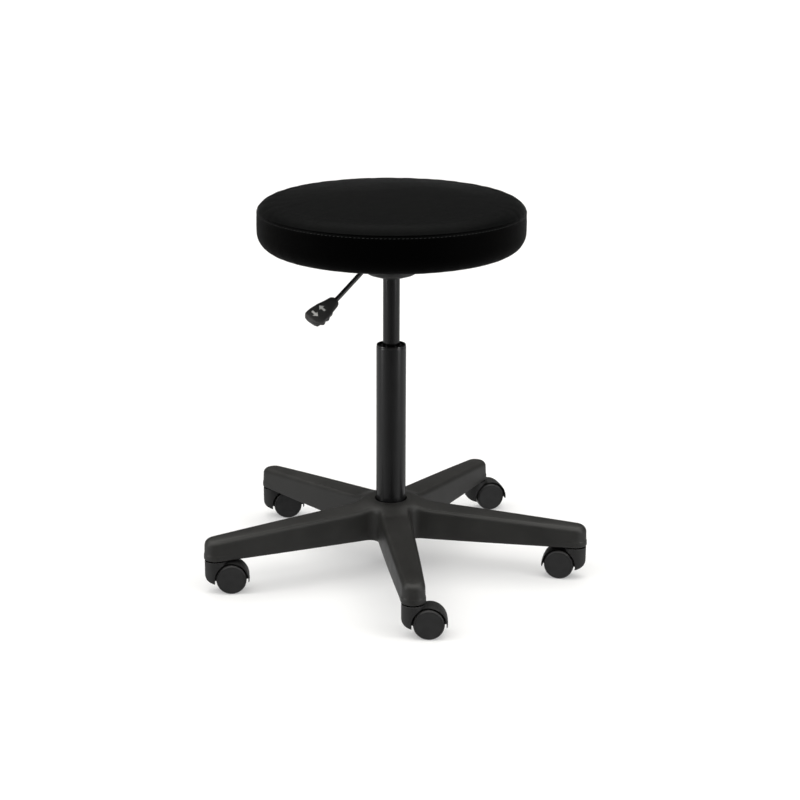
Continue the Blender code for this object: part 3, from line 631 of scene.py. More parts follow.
def build_foam():
    """The cushion's foam, a little inside the cover at its tightest."""
    outline = []
    rings = [ring for ring in seat_rings() if ring[2] != "hem"]
    for before, (r, z, _), after in zip(rings, rings[1:], rings[2:]):
        way = way_out(before, after)
        outline.append((r - way[0] * FOAM_GAP, z - way[1] * FOAM_GAP))
    low_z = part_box("seat_foam")[0].z
    board_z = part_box("seat_board")[1].z
    rim = half_span("seat_board") + 0.0006
    outline = [(0, outline[0][1])] + outline
    outline += [(rim, low_z + 0.0010), (rim, board_z + 0.0003), (0, board_z + 0.0003)]
    foam = lathe("foam_block", outline, FOAM, sides=96, ring=False)
    seat_piece(at_axis(foam), "seat", "foam", "seat_foam")


def build_stitches():
    """A row of lock stitches in the side band, just under the seam."""
    pitch = 0.0068
    length = 0.0046
    thick = 0.00042
    radius = SEAT_RADIUS - 0.0007
    height = CROWN_Z - SEAM_DROP - 0.0028
    count = int(2 * pi * radius / pitch)
    sides = 6
    points, faces = [], []
    # along the stitch, its thickness there and how far out it lies
    ends = ((-0.5, 0.25, -0.0007), (-0.38, 0.8, 0.0001), (0.0, 1.0, 0.00035), (0.38, 0.8, 0.0001),
            (0.5, 0.25, -0.0007))
    for n in range(count):
        a0 = 2 * pi * n / count
        start = len(points)
        for along, fat, out in ends:
            a = a0 + along * length / radius
            r = radius + out
            for k in range(sides):
                b = 2 * pi * k / sides
                rr = r + thick * fat * cos(b)
                z = height + thick * fat * sin(b) + along * 0.0004
                points.append((rr * cos(a), rr * sin(a), z))
        faces += loft_faces(len(ends), sides, start)
    seat_piece(at_axis(add_mesh("seam_stitches", points, faces, THREAD)), "seat", "vinyl")


def build_underside():
    """Dust cloth with a slight ripple, and the staples round its edge, under the seat."""
    low_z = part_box("dust_cover")[0].z
    radius = half_span("dust_cover")
    rings, sides = 26, 160
    points = []
    for k in range(rings + 1):
        share = k / rings
        for n in range(sides):
            a = 2 * pi * n / sides
            ripple = 0.00025 * sin(7 * a + 3 * share) * share + 0.0002 * sin(23 * a)
            r = radius * share * (1 + 0.004 * sin(31 * a) * (share > 0.99))
            points.append((r * cos(a), r * sin(a), low_z + 0.0004 + ripple * share))
    faces = grid_faces(rings + 1, sides, wrap_columns=True)
    cloth = add_mesh("seat_dust_cloth", points, faces, DUST_CLOTH, sharp=180)
    thicken(cloth, 0.0005, 0)
    seat_piece(at_axis(cloth), "seat", "dust_cloth", "dust_cover")

    points, faces = [], []
    count = 30
    for n in range(count):
        a = 2 * pi * (n + 0.3 * RNG.uniform(-1, 1)) / count
        tilt = RNG.uniform(-0.25, 0.25)
        spot = Vector((cos(a), sin(a), 0)) * (radius - 0.007)
        along = Vector((-sin(a + tilt), cos(a + tilt), 0))
        side = Vector((cos(a + tilt), sin(a + tilt), 0))
        start = len(points)
        for x, z, w in ((-0.0055, 0.0006, 0.7), (-0.0050, -0.0003, 1), (0.0050, -0.0003, 1),
                        (0.0055, 0.0006, 0.7)):
            for y, dz in ((-0.0006, 0.0004), (0.0006, 0.0004), (0.0006, -0.0002), (-0.0006, -0.0002)):
                p = spot + along * x + side * y * w
                points.append((p.x, p.y, low_z + z + dz))
        faces += loft_faces(4, 4, start)
    seat_piece(at_axis(add_mesh("cloth_staples", points, faces, STAPLE)), "seat", "zinc")


# ---- mechanism housing ------------------------------------------------------------------


def build_housing():
    """The pressed mechanism housing: cup, square flange with its bolt holes, and lever slot."""
    low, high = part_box("mechanism_housing")
    cup = 0.0415
    wall = 0.0025
    edge_z = 0.5116
    top_z = high.z
    flange_z = top_z - 0.003
    flange = 0.058
    mouth = 0.0179
    corner_radius = 0.015
    slot_half = 0.0062
    body = lathe("mechanism_shell", rounded([
        (flange, top_z, 0.0), (flange, flange_z, 0.0), (cup + 0.004, flange_z, 0.003),
        (cup, flange_z - 0.006, 0.003), (cup, edge_z, 0.0035), (mouth + 0.001, low.z, 0.0010),
        (mouth, low.z, 0.0003), (mouth, low.z + 0.003, 0.0),
        (cup - wall, edge_z + 0.002, 0.002), (cup - wall, top_z, 0.0),
    ]), HOUSING_PAINT, sides=120)
    corner = half_span("mechanism_housing") - corner_radius
    rim = []
    for start in (0, 90, 180, 270):
        middle_way = radians(start + 45)
        centre = (corner * 2 ** 0.5 * cos(middle_way), corner * 2 ** 0.5 * sin(middle_way))
        rim += arc(centre, corner_radius, start, start + 90, 10)
    plate = prism("plate", rim, flange_z, top_z, HOUSING_PAINT)
    boolean(plate, plug("hole", flange - 0.0015, top_z + 0.01, flange_z - 0.01, HOUSING_PAINT, 120))
    for k in range(1, 5):
        spot = middle(f"seat_bolt_{k}")
        drill = plug("drill", 0.0036, top_z + 0.01, flange_z - 0.01, HOUSING_PAINT, 32)
        drill.location = (spot.x - AXIS.x, spot.y - AXIS.y, 0)
        boolean(plate, drill)
    boolean(body, plate, "UNION")
    inner, outer = cup - 0.008, cup + 0.006
    slot = prism("slot", [(inner, -slot_half), (outer, -slot_half), (outer, slot_half),
                          (inner, slot_half)], 0.5300, 0.5470, HOUSING_PAINT)
    slot.rotation_euler = (0, 0, LEVER_WAY)
    boolean(body, slot)
    tidy(body)
    bevel(body, 0.0005, 2, 50)
    apply_modifiers(body)
    seat_piece(at_axis(body), "seat", "housing_paint", "mechanism_housing")


# ---- column -----------------------------------------------------------------------------


def build_column():
    """The outer tube with its rolled top edge, the bush in it and the gas cylinder."""
    low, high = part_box("column_tube")
    radius = half_span("column_tube")
    top = high.z
    tube = lathe("outer_tube", rounded([
        (radius - 0.0028, top, 0.0006), (radius - 0.0007, top, 0.0009),
        (radius - 0.0002, top - 0.0026, 0.0006), (radius - 0.0006, top - 0.0034, 0.0004),
        (radius, top - 0.0044, 0.0006), (radius, 0.118, 0.002), (0.0248, 0.106, 0.001),
        (0.0232, low.z, 0.0008), (0.0056, low.z, 0.0003), (0.0056, 0.065, 0.0003),
        (0.0212, 0.065, 0.001), (0.0226, 0.112, 0.001), (radius - 0.0028, top - 0.004, 0.0006),
    ]), TUBE_PAINT, sides=128)
    seat_piece(at_axis(tube), "stand", "tube_paint", "column_tube")

    bush_low, bush_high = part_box("guide_bush")
    bush = lathe("cylinder_guide", rounded([
        (radius - 0.0032, bush_high.z - 0.0018, 0.0004), (radius - 0.0032, bush_low.z, 0.0005),
        (0.0143, bush_low.z, 0.0005), (0.0143, bush_high.z, 0.0006),
        (0.0175, bush_high.z, 0.0008), (0.0185, bush_high.z - 0.0018, 0.0005),
    ]), BUSH_NYLON, sides=96)
    seat_piece(at_axis(bush), "stand", "bush_nylon", "guide_bush")

    low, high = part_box("gas_cylinder")
    radius = half_span("gas_cylinder")
    rod = lathe("gas_lift_cylinder", rounded([
        (0.0037, high.z, 0.0004), (0.0129, high.z, 0.0008), (radius, 0.503, 0.002),
        (radius, low.z, 0.0012), (0.012, low.z, 0.0004), (0.012, 0.500, 0.001),
        (0.0105, 0.512, 0.001), (0.0105, 0.528, 0.0008), (0.0037, 0.528, 0.0004),
    ]), CYLINDER_PAINT, sides=128)
    seat_piece(at_axis(rod), "seat", "cylinder_paint", "gas_cylinder")


# ---- base -------------------------------------------------------------------------------
BASE_LOW, BASE_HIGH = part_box("star_base")
RIM_Z = BASE_LOW.z
HUB_Z = BASE_HIGH.z
STEMS = [Vector(JOINT[f"caster_swivel_{n}"]["pos_m"]) - AXIS for n in CASTERS]
STEM_RADIUS = hypot(STEMS[0].x, STEMS[0].y)
MOUTH = 0.0275                      # radius of the hub's mouth
BORE = 0.0237                       # and of its bore
BORE_END = 0.060                    # beyond it the underside's inner edge is the leg's middle
FILLET = 0.0145                     # radius of the valley between two legs
BOSS_FLAT = 0.037                   # where the boss round the column starts to fall
BOSS_END = 0.074                    # and where it meets the leg
LEG_START = 0.070
LEG_START_Z = 0.1095
LEG_FALL = 0.066
WIDE_AT = 0.080
WIDE_HALF = 0.0270                  # half the leg's width there
TAPER = 0.0185
CURVE = 0.054
EDGE = 0.0085                       # rounding of the leg's upper edge
DRAFT = tan(radians(2.0))


def leg_line(r):
    """Height of a leg's straight top at a distance from the column's axis."""
    return LEG_START_Z - LEG_FALL * (r - LEG_START)


def leg_top(r):
    """Height of the base's upper surface, boss and all, at a distance from the axis."""
    if r <= BOSS_FLAT:
        return HUB_Z
    t = clamp((r - BOSS_FLAT) / (BOSS_END - BOSS_FLAT))
    return leg_line(r) + (HUB_Z - leg_line(BOSS_FLAT)) * (0.5 + 0.5 * cos(pi * t))


def leg_half_width(r):
    x = r - WIDE_AT
    return WIDE_HALF - TAPER * x - CURVE * x * x


def half_leg_stations():
    """Rows (inner point, outline point, outward way, edge rounding, at the hub) along half a leg."""
    half = pi / 5
    side = leg_half_width(0.058)
    centre_r = (side + FILLET) / sin(half)
    centre = Vector((centre_r * cos(half), centre_r * sin(half)))
    stations = []
    steps = 10
    for k in range(steps + 1):
        t = k / steps
        # the fillet runs from the valley between two legs to the leg's side
        way = radians(216) + (radians(270) - radians(216)) * t
        out = Vector((cos(way), sin(way)))
        inner_angle = half * (1 - t)
        inner = Vector((MOUTH * cos(inner_angle), MOUTH * sin(inner_angle)))
        stations.append((inner, centre + out * FILLET, -out, EDGE, True))
    steps = 40
    start = centre.x
    for k in range(1, steps + 1):
        t = k / steps
        x = start + (STEM_RADIUS - start) * t
        w = leg_half_width(x) * t + (leg_half_width(x) + side - leg_half_width(start)) * (1 - t)
        slope = -TAPER - 2 * CURVE * (x - WIDE_AT)
        share = min(1, t * 4)
        out = Vector((-slope, 1)).normalized() * share + Vector((0, 1)) * (1 - share)
        inner = Vector((MOUTH + (STEM_RADIUS - MOUTH) * t, 0))
        stations.append((inner, Vector((x, w)), out.normalized(), EDGE + 0.0015 * t ** 6, False))
    w = leg_half_width(STEM_RADIUS)
    steps = 14
    for k in range(1, steps + 1):
        a = pi / 2 * (1 - k / steps)
        out = Vector((cos(a), sin(a)))
        spot = Vector((STEM_RADIUS, 0))
        stations.append((spot, spot + out * w, out, 0.010, False))
    return stations


def half_leg_rows(stations):
    """Upper surface, rounded edge, wall and lip of half a leg: a row of points for each station."""
    rows = []
    for inner, outline, out, edge, _ in stations:
        top_here = leg_top(hypot(outline.x, outline.y))
        lip = 0.0007 * clamp((outline.x - STEM_RADIUS + 0.018) / 0.014)
        upper = outline - out * (DRAFT * (top_here - edge - RIM_Z))
        line = upper - inner
        length = line.length
        line.normalize()
        row = []
        flat = max(length - edge, 0.002)
        reach = length - flat
        for k in range(11):
            s = flat * (k / 10) ** 0.9
            p = inner + line * s
            crown = 0.0007 * (1 - (s / flat) ** 2)
            row.append((p.x, p.y, leg_top(hypot(p.x, p.y)) + crown * min(1, p.x / 0.3)))
        for k in range(1, 8):
            a = pi / 2 * k / 7
            p = inner + line * (flat + reach * sin(a))
            row.append((p.x, p.y, leg_top(hypot(p.x, p.y)) - edge * (1 - cos(a))))
        wall_top = row[-1][2]
        for k in range(1, 6):
            z = wall_top + (RIM_Z + 0.0105 - wall_top) * k / 5
            p = outline - out * (DRAFT * (z - RIM_Z))
            row.append((p.x, p.y, z))
        for z, share, inset in ((0.0098, 0.35, 0), (0.0090, 0.85, 0), (0.0082, 1.0, 0),
                                (0.0018, 1.0, 0), (0.0007, 1.0, 0.0003), (0.0, 1.0, 0.0012)):
            p = outline + out * (lip * share - inset - DRAFT * z)
            row.append((p.x, p.y, RIM_Z + z))
        rows.append(row)
    return rows


def build_base():
    """The five-star base, made of ten half legs."""
    stations = half_leg_stations()
    rows = half_leg_rows(stations)
    points, faces = [], []
    hub_steps = [s for s in stations if s[4]]
    for stem in STEMS:
        angle = atan2(stem.y, stem.x)
        for mirror in (1, -1):
            start = len(points)
            spin = Matrix.Rotation(angle, 3, "Z")
            for row in rows:
                points += [spin @ Vector((x, y * mirror, z)) for x, y, z in row]
            faces += grid_faces(len(rows), len(rows[0]), start=start)
            # underside, from the outline's lower edge to the bore or to the leg's middle
            base = len(points)
            for station, row in zip(stations, rows):
                inner = station[0]
                if station[4]:
                    inner = inner.normalized() * BORE
                elif inner.x < BORE_END:
                    inner = Vector((BORE + (inner.x - MOUTH) * (BORE_END - BORE)
                                    / (BORE_END - MOUTH), 0))
                points.append(spin @ Vector((inner.x, inner.y * mirror, RIM_Z)))
                x, y, _ = row[-1]
                points.append(spin @ Vector((x, y * mirror, RIM_Z)))
            faces += grid_faces(len(rows), 2, start=base)
            # mouth, recess and bore of the hub
            base = len(points)
            bore = [(MOUTH, HUB_Z), (MOUTH, HUB_Z - 0.0012), (MOUTH - 0.0001, 0.1065),
                    (MOUTH - 0.0006, 0.1058), (0.0256, 0.1056), (0.0252, 0.1052), (BORE, RIM_Z)]
            for station in hub_steps:
                way = station[0].normalized()
                for r, z in bore:
                    points.append(spin @ Vector((way.x * r, way.y * r * mirror, z)))
            faces += grid_faces(len(hub_steps), len(bore), start=base)
    base = add_mesh("five_star_base", points, faces, BASE_NYLON, sharp=38)
    cut_underside(base)
    tidy(base, merge=1e-6, sharp=38)
    seat_piece(at_axis(base), "stand", "base_nylon", "star_base")


def cut_underside(base):
    """Hollows with cross ribs under each leg, a groove round the hub and the stem sockets."""
    wall = 0.0032 + 0.0012              # the wall and its draft
    rib = 0.0011                        # half a rib
    skin = 0.0062
    cells = ((0.0640, 0.1280), (0.1300, 0.2080), (0.2100, 0.2920))
    points, faces = [], []
    for stem in STEMS:
        spin = Matrix.Rotation(atan2(stem.y, stem.x), 3, "Z")
        for start, end in cells:
            a = leg_half_width(start) - wall
            b = leg_half_width(end) - wall
            corners = [Vector((start, -a)), Vector((end, -b)), Vector((end, b)), Vector((start, a))]
            centre = sum(corners, Vector((0, 0))) / 4
            for k in range(4):
                tri = [corners[k], corners[(k + 1) % 4], centre]
                inner = sum(tri, Vector((0, 0))) / 3
                base_i = len(points)
                for at_top in (False, True):
                    for p in tri:
                        q = shrink(tri, p, rib)
                        z = leg_top(q.x) - skin if at_top else RIM_Z - 0.004
                        if at_top:
                            q = q + (inner - q) * 0.05
                        points.append(spin @ Vector((q.x, q.y, z)))
                faces += [(base_i, base_i + 1, base_i + 2), (base_i + 5, base_i + 4, base_i + 3)]
                for m in range(3):
                    n = (m + 1) % 3
                    faces.append((base_i + m, base_i + m + 3, base_i + n + 3, base_i + n))
    hollows = add_mesh("hollows", points, faces, BASE_NYLON)
    boolean(base, hollows)
    groove = lathe("groove", [(0.0485, 0.100), (0.0495, RIM_Z - 0.01), (0.0335, RIM_Z - 0.01),
                              (0.0345, 0.100)], BASE_NYLON, sides=90)
    boolean(base, groove)
    for stem in STEMS:
        socket = lathe("socket", [(0, 0.087), (0.0063, 0.087), (0.0064, RIM_Z - 0.01),
                                  (0, RIM_Z - 0.01)], BASE_NYLON, sides=40, ring=False)
        socket.location = (stem.x, stem.y, 0)
        boolean(base, socket)


def shrink(triangle, corner, distance):
    """The corner of a triangle whose sides are moved in by a distance."""
    others = [p for p in triangle if p is not corner]
    ways = [(p - corner).normalized() for p in others]
    between = (ways[0] + ways[1]).normalized()
    half_sine = max(0.15, ((1 - ways[0].dot(ways[1])) / 2) ** 0.5)
    return corner + between * (distance / half_sine)


# ---- lever ------------------------------------------------------------------------------
LEVER_Z = 0.5460
KNEE = (0.0288, LEVER_Z)
NECK = (0.1150, 0.4840)
ROD_RADIUS = 0.0039
HANDLE_SLOPE = radians(23.5)
HANDLE_ROLL = radians(-30)
HANDLE_LENGTH = 0.0614
HANDLE_AT = (0.0, 0.0036, 0.018, 0.032, 0.045, 0.054, 0.059, HANDLE_LENGTH)
HANDLE_LEFT = (0.0066, 0.0098, 0.0115, 0.0132, 0.0140, 0.0130, 0.0095, 0.0020)
HANDLE_RIGHT = (0.0072, 0.0103, 0.0145, 0.0196, 0.0213, 0.0190, 0.0128, 0.0025)
HANDLE_THICK = (0.0052, 0.0064, 0.0064, 0.0060, 0.0060, 0.0056, 0.0044, 0.0020)


def lever_frame():
    return Matrix.Translation(AXIS) @ Matrix.Rotation(LEVER_WAY, 4, "Z")


def build_lever_rod():
    """A bent round rod, swept along its path."""
    handle_way = np.array((cos(HANDLE_SLOPE), -sin(HANDLE_SLOPE)))
    end = np.array(NECK) + handle_way * 0.020
    path = rounded([(-0.006, LEVER_Z, 0.0), (*KNEE, 0.005), (*NECK, 0.006), (*end, 0.0)], steps=8)
    sides = 24
    points = []
    count = len(path)
    for k, (x, z) in enumerate(path):
        before, after = path[max(k - 1, 0)], path[min(k + 1, count - 1)]
        way = np.array(after) - np.array(before)
        way /= np.linalg.norm(way)
        up = (-way[1], way[0])
        for n in range(sides):
            a = 2 * pi * n / sides
            points.append((x + up[0] * ROD_RADIUS * sin(a), ROD_RADIUS * cos(a),
                           z + up[1] * ROD_RADIUS * sin(a)))
    rod = add_mesh("height_lever_rod", points, loft_faces(count, sides), LEVER_PAINT, sharp=40)
    rod.matrix_world = lever_frame()
    seat_piece(rod, "lever", "lever_steel", "lever_rod")


def handle_matrix():
    way = Vector((cos(HANDLE_SLOPE), 0, -sin(HANDLE_SLOPE)))
    spot = Vector((NECK[0], 0, NECK[1])) + way * 0.003
    return (lever_frame() @ Matrix.Translation(spot) @ Matrix.Rotation(HANDLE_SLOPE, 4, "Y")
            @ Matrix.Rotation(HANDLE_ROLL, 4, "X"))


def along_handle(x, values):
    """A smooth curve through the values at the handle's stations."""
    k = min(max(int(np.searchsorted(HANDLE_AT, x)) - 1, 0), len(HANDLE_AT) - 2)
    gap = HANDLE_AT[k + 1] - HANDLE_AT[k]
    t = (x - HANDLE_AT[k]) / gap
    steps = np.diff(values) / np.diff(HANDLE_AT)
    slopes = [steps[0]]
    for one, two in zip(steps, steps[1:]):
        slopes.append(2 * one * two / (one + two) if one * two > 0 else 0.0)
    slopes.append(steps[-1])
    rise = t * t * (3 - 2 * t)
    ease = gap * t * (1 - t) * ((1 - t) * slopes[k] - t * slopes[k + 1])
    return values[k] * (1 - rise) + values[k + 1] * rise + ease


def handle_section(x):
    """How far the neck has turned into the blade, the half thickness and the section's power."""
    blade = clamp((x - 0.012) / 0.016)
    return blade, along_handle(x, HANDLE_THICK), 1.0 - 0.55 * blade


def handle_top(x, across):
    """Height of the paddle's upper face, at a share of its half width: dished, round edges."""
    blade, thick, power = handle_section(x)
    edge = max(0.0, 1 - abs(across) ** (2 / power)) ** (power / 2)
    return thick * edge - 0.0010 * blade * (1 - across * across)


def build_handle():
    """The paddle: a softly dished upper face and finger waves along its lower front edge."""
    rows, sides = 72, 64
    points = []
    for i in range(rows + 1):
        x = HANDLE_LENGTH * (1 - (1 - i / rows) ** 1.6)
        left, right = along_handle(x, HANDLE_LEFT), along_handle(x, HANDLE_RIGHT)
        blade, thick, power = handle_section(x)
        for k in range(sides):
            a = 2 * pi * k / sides
            c, way = cos(a), sin(a)
            across = abs(c) ** power * (1 if c > 0 else -1)
            y = (right if c > 0 else left) * across
            z = handle_top(x, across) if way > 0 else -thick * abs(way) ** power
            # finger waves on the lower half of the front edge
            wave = 0.0008 * blade * max(0.0, across) ** 3 * cos(2 * pi * x / 0.0115)
            y += wave * (1.0 if way < 0.2 else 0.35)
            z -= 0.8 * wave * (1 if way < 0 else 0)
            points.append((x, y, z))
    handle = add_mesh("height_lever_handle", points, loft_faces(rows + 1, sides), HANDLE_NYLON, sharp=50)
    bore = plug("bore", ROD_RADIUS + 0.0002, 0.0200, -0.004, HANDLE_NYLON, 32)
    bore.data.transform(Matrix.Rotation(pi / 2, 4, "Y"))
    boolean(handle, bore)
    tidy(handle, sharp=50)
    handle.matrix_world = handle_matrix()
    seat_piece(handle, "lever", "handle_nylon", "lever_handle")
    build_arrows()


def build_arrows():
    """Two plain arrows on the paddle, one for up and one for down, as thin pads of ink."""
    arrow = [(-0.0018, -0.0066), (0.0018, -0.0066), (0.0018, 0.0006), (0.0054, 0.0006),
             (0.0, 0.0070), (-0.0054, 0.0006), (-0.0018, 0.0006)]
    points, faces = [], []
    for x0, turn in ((0.030, -1), (0.046, 1)):
        start = len(points)
        for level in (0.00025, -0.0012):
            for x, y in arrow:
                px, py = x0 + x, y * turn
                half = along_handle(px, HANDLE_RIGHT if py > 0 else HANDLE_LEFT)
                points.append((px, py, handle_top(px, py / half) + level))
        n = len(arrow)
        faces.append(tuple(start + k for k in range(n)))
        faces.append(tuple(start + n + k for k in reversed(range(n))))
        for k in range(n):
            m = (k + 1) % n
            faces.append((start + k, start + k + n, start + m + n, start + m))
    arrows = add_mesh("handle_arrows", points, faces, INK)
    arrows.matrix_world = handle_matrix()
    seat_piece(arrows, "lever", "handle_nylon")


# ---- casters ----------------------------------------------------------------------------
TRAIL = 0.0245                      # from the stem's axis to the axle
WHEEL_RADIUS = 0.025
HOOD_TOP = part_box("caster_hood_1")[1].z
HOOD_HALF = 0.0196
NECK_RADIUS = 0.0191
HOOD_RADIUS = 0.0294
WELL = 0.0280                       # radius of a wheel well
WEB = 0.0022                        # half the web between the wells


def hood_form():
    """Caster body about its stem's axis, trailing along +X: neck, hood, web and wheel wells."""
    x0, z0 = TRAIL, WHEEL_RADIUS
    bend = [(-NECK_RADIUS, z0 + 0.0045, 0.0), (-0.0178, z0 - 0.0002, 0.003), (-0.0125, z0 - 0.0040, 0.003),
            (-0.0045, z0 - 0.0068, 0.0)]
    side = [(-NECK_RADIUS, HOOD_TOP)] + [tuple(p) for p in rounded(bend, 4)]
    side += [(x0 - 0.010, z0 - 0.0085), (x0 + 0.010, z0 - 0.0085)]
    side += [(x0 + HOOD_RADIUS - 0.0016, z0 - 0.0040), (x0 + HOOD_RADIUS + 0.004, z0 - 0.0010)]
    side += [(x0 + HOOD_RADIUS + 0.004, HOOD_TOP)]
    count = len(side)
    points = [(x, -HOOD_HALF - 0.004, z) for x, z in side] + [(x, HOOD_HALF + 0.004, z) for x, z in side]
    faces = [tuple(reversed(range(count))), tuple(range(count, 2 * count))]
    faces += [(k, (k + 1) % count, (k + 1) % count + count, k + count) for k in range(count)]
    hood = add_mesh("hood", points, faces, CASTER_NYLON)

    half = [(HOOD_RADIUS - r, HOOD_HALF - y) for r, y in
            ((0.0032, 0.0), (0.0018, 0.0006), (0.0007, 0.0022), (0.0002, 0.0048), (0.0, 0.0090))]
    half.append((HOOD_RADIUS + 0.0003, 0.0))
    barrel = lathe("barrel", [(0, HOOD_HALF)] + half + [(r, -y) for r, y in reversed(half[:-1])]
                   + [(0, -HOOD_HALF)], CASTER_NYLON, sides=128, ring=False)
    barrel.data.transform(Matrix.Translation((x0 + 0.0006, 0, z0 - 0.0010))
                          @ Matrix.Rotation(pi / 2, 4, "X"))
    neck = lathe("neck", [(0, HOOD_TOP), (NECK_RADIUS - 0.0008, HOOD_TOP), (NECK_RADIUS, HOOD_TOP - 0.0008),
                          (NECK_RADIUS, z0 + 0.006), (NECK_RADIUS - 0.0016, 0.010), (0, 0.010)],
                 CASTER_NYLON, sides=96, ring=False)
    # the wells' plates fill the neck's back up to the axle
    plate = prism("plate", [(0, -NECK_RADIUS), (x0, -HOOD_HALF + 0.0004), (x0, HOOD_HALF - 0.0004),
                            (0, NECK_RADIUS)], 0.0085, 0.0462, CASTER_NYLON)
    boolean(barrel, neck, "UNION")
    boolean(barrel, plate, "UNION")
    boolean(hood, barrel, "INTERSECT")
    tidy(hood, merge=2e-5)
    for way in (1, -1):
        well = plug("well", WELL, 0.030, WEB, CASTER_NYLON, 96)
        well.data.transform(Matrix.Translation((x0, 0, z0)) @ Matrix.Rotation(-way * pi / 2, 4, "X"))
        tidy(well)
        boolean(hood, well)
        tidy(hood, merge=1e-5)
    boolean(hood, plug("stem_hole", 0.0060, 0.070, 0.0477, CASTER_NYLON, 40))
    axle = plug("axle_hole", 0.0033, 0.010, -0.010, CASTER_NYLON, 32)
    axle.data.transform(Matrix.Translation((x0, 0, z0)) @ Matrix.Rotation(pi / 2, 4, "X"))
    boolean(hood, axle)
    tidy(hood, merge=1e-5)
    bevel(hood, 0.0006, 3, 40)
    apply_modifiers(hood)
    return hood


def wheel_form():
    """A wheel with a rounded rim, an almost flat face and a round hollow on its hidden side."""
    outer, inner = 0.0188, 0.0030
    r = WHEEL_RADIUS
    return lathe("wheel", rounded([
        (0.0, outer - 0.0004, 0.0), (0.0060, outer - 0.0004, 0.001), (0.0180, outer - 0.0001, 0.004),
        (r - 0.0028, outer, 0.0012), (r, outer - 0.0022, 0.0016), (r + 0.00002, 0.011, 0.004),
        (r, inner + 0.0012, 0.0008), (r - 0.0012, inner, 0.0006), (0.0205, inner, 0.0005),
        (0.0200, inner + 0.0085, 0.001), (0.0075, inner + 0.0085, 0.001), (0.0070, inner, 0.0004),
        (0.0034, inner, 0.0003), (0.0034, 0.0155, 0.0003), (0.0, 0.0155, 0.0),
    ], steps=4), WHEEL_NYLON, sides=96, ring=False, sharp=40)


def build_casters():
    """Five casters that share one hood's mesh and one wheel's."""
    hood = hood_form()
    wheel = wheel_form()
    for n in CASTERS:
        pivot = Vector(JOINT[f"caster_swivel_{n}"]["pos_m"])
        axle = Vector(JOINT[f"wheel_spin_{n}_left"]["pos_m"])
        yaw = atan2(axle.y - pivot.y, axle.x - pivot.x)
        body = placed(f"caster_body_{n}", hood.data)
        body.location = (pivot.x, pivot.y, 0)
        body.rotation_euler = (0, 0, yaw)
        seat_piece(body, f"caster_{n}", "caster_nylon", f"caster_hood_{n}")
        for side, letter, way in (("left", "a", -1), ("right", "b", 1)):
            disc = placed(f"wheel_disc_{n}{letter}", wheel.data)
            disc.matrix_world = (Matrix.Translation(axle) @ Matrix.Rotation(yaw, 4, "Z")
                                 @ Matrix.Rotation(way * pi / 2, 4, "X"))
            seat_piece(disc, f"wheel_{n}_{side}", "wheel_nylon", f"wheel_{n}{letter}")
    for form in (hood, wheel):
        bpy.data.objects.remove(form, do_unlink=True)


# ---- CAD pieces that stay ---------------------------------------------------------------


def finish_kept_nodes():
    """Gives the CAD nodes that stay their materials, and the bolts soft edges."""
    kept = {
        "bearing_lower_race": BEARING, "bearing_upper_race": BEARING, "ball_race": BEARING,
        "piston_rod": STEEL, "piston_head": ACETAL, "bump_stop": RUBBER, "retaining_clip": ZINC,
        "rod_seal": RUBBER, "release_button": ZINC, "taper_socket": ZINC, "seat_board": PLYWOOD,
        "seat_foam": FOAM,
    }
    for k in range(1, 5):
        kept[f"tee_nut_{k}"] = ZINC
        kept[f"seat_bolt_{k}"] = ZINC
    for n in CASTERS:
        kept[f"caster_stem_{n}"] = ZINC
        kept[f"grip_ring_{n}"] = ZINC
        kept[f"axle_{n}"] = ZINC
    for name, finish in kept.items():
        node = frame["nodes"][name]
        node.data.materials.clear()
        node.data.materials.append(finish)
    for k in range(1, 5):
        bevel(frame["nodes"][f"seat_bolt_{k}"], 0.0004, 2, 40)


# ---- stage ------------------------------------------------------------------------------


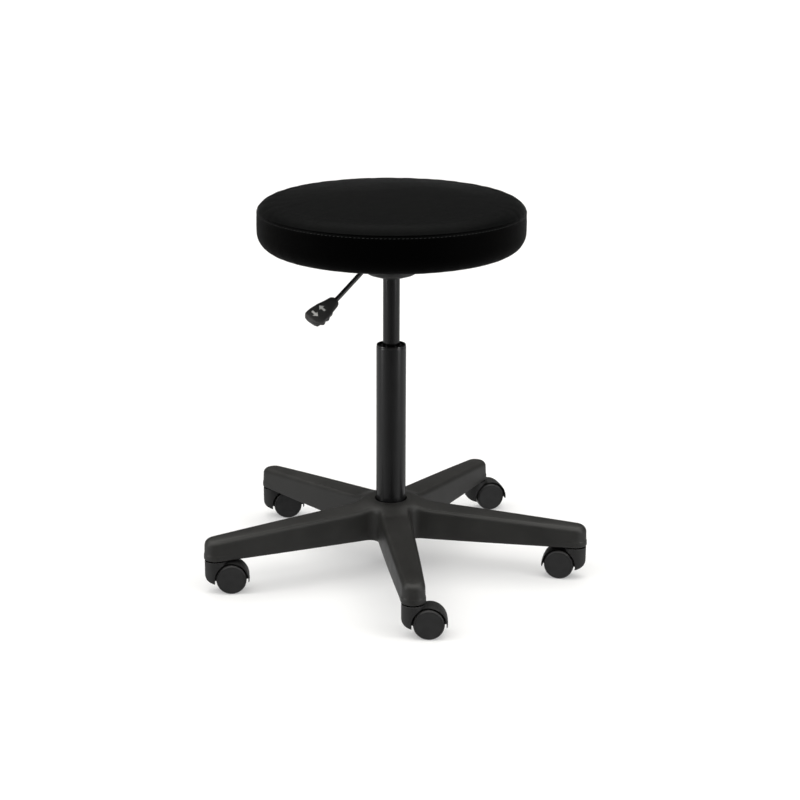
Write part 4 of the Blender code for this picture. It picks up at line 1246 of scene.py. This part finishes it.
def build_stage():
    """A white floor and backdrop, a broad soft light overhead and a tall soft box on each side."""
    floor = Finish("pale_floor", 0.1)
    cloud = floor.noise(0.8, 2)
    floor.colour(floor.mix(cloud, (0.62, 0.62, 0.62), (0.65, 0.65, 0.65)))
    floor.put("Roughness", 0.95)
    floor.put("Emission Color", (1, 1, 1, 1))
    floor.put("Emission Strength", 0.33)
    # seen from below it is not there, so the underside can be looked at
    nodes, links = floor.nodes, floor.links
    clear = nodes.new("ShaderNodeBsdfTransparent")
    either = nodes.new("ShaderNodeMixShader")
    links.new(nodes.new("ShaderNodeNewGeometry").outputs["Backfacing"], either.inputs[0])
    links.new(floor.shader.outputs[0], either.inputs[1])
    links.new(clear.outputs[0], either.inputs[2])
    links.new(either.outputs[0], nodes["Material Output"].inputs["Surface"])
    plane = add_mesh("floor", [(-30, -30, 0), (30, -30, 0), (30, 30, 0), (-30, 30, 0)],
                     [(0, 1, 2, 3)], floor.made)
    plane.location = (AXIS.x, AXIS.y, -0.0004)
    plane.visible_glossy = False

    white = Finish("white_backdrop", 0.0)
    haze = white.noise(0.05, 1)
    white.colour(white.mix(haze, (0.9, 0.9, 0.9), (1, 1, 1)))
    white.put("Emission Color", (1, 1, 1, 1))
    white.put("Emission Strength", 1.0)
    dome = lathe("backdrop", [(29 * sin(a), 29 * cos(a)) for a in np.linspace(0.0, 1.7, 18)],
                 white.made, sides=48, ring=False)
    dome.visible_diffuse = dome.visible_glossy = dome.visible_shadow = False

    world = bpy.data.worlds.new("studio")
    bpy.context.scene.world = world
    world.use_nodes = True
    nodes, links = world.node_tree.nodes, world.node_tree.links
    nodes["Background"].inputs["Color"].default_value = (1, 1, 1, 1)
    # dim above; below the horizon it stands in for the floor in reflections, brighter to the sides
    axes = nodes.new("ShaderNodeSeparateXYZ")
    links.new(nodes.new("ShaderNodeTexCoord").outputs["Generated"], axes.inputs[0])
    sides = nodes.new("ShaderNodeMapRange")
    below = nodes.new("ShaderNodeMapRange")
    for node, axis, values in ((sides, "Y", (-1.0, -0.5, 0.09, 0.50)),
                               (below, "Z", (-0.04, 0.04, 1.0, 0.0))):
        links.new(axes.outputs[axis], node.inputs["Value"])
        for socket, value in zip(("From Min", "From Max", "To Min", "To Max"), values):
            node.inputs[socket].default_value = value
    blend = nodes.new("ShaderNodeMath")
    blend.operation = "MULTIPLY_ADD"
    links.new(sides.outputs[0], blend.inputs[0])
    links.new(below.outputs[0], blend.inputs[1])
    blend.inputs[2].default_value = 0.05
    links.new(blend.outputs[0], nodes["Background"].inputs["Strength"])

    def lamp(name, kind, spot, aim, energy, **settings):
        light = bpy.data.lights.new(name, kind)
        light.energy = energy
        for setting, value in settings.items():
            setattr(light, setting, value)
        obj = placed(name, light)
        obj.location = AXIS + Vector(spot)
        obj.rotation_euler = (Vector(aim) - Vector(spot)).to_track_quat("-Z", "Y").to_euler()

    lamp("overhead", "SUN", (0, 0, 4), (0.15, 0.25, 0), 3.6, angle=radians(95), color=(1.0, 0.99, 0.96))
    lamp("left_box", "AREA", (-2.4, -0.7, 1.0), (0, 0, 0.35), 22, shape="RECTANGLE", size=0.70,
         size_y=2.2)
    lamp("right_box", "AREA", (2.2, -1.1, 1.0), (0, 0, 0.35), 20, shape="RECTANGLE", size=0.60,
         size_y=2.2)


def build_camera():
    """The photograph's view: 16.8 degrees down, from 3.3 m away, with an 89 mm lens."""
    aside = 0.0149
    data = bpy.data.cameras.new("camera")
    data.lens = 88.94
    data.sensor_width = 36.0
    data.clip_end = 100
    camera = placed("camera", data)
    spot = AXIS + Vector((aside, -3.1823, 1.2538))
    aim = AXIS + Vector((aside, 0.0, 0.2921))
    camera.location = spot
    level = (aim - spot).to_track_quat("-Z", "Y").to_matrix()
    camera.rotation_euler = (level @ Matrix.Rotation(radians(0.23), 3, "Z")).to_euler()
    bpy.context.scene.camera = camera


build_stage()
build_camera()
build_cushion()
build_foam()
build_stitches()
build_underside()
build_housing()
build_column()
build_base()
build_lever_rod()
build_handle()
build_casters()
finish_kept_nodes()
bpy.context.scene.view_settings.view_transform = "Standard"
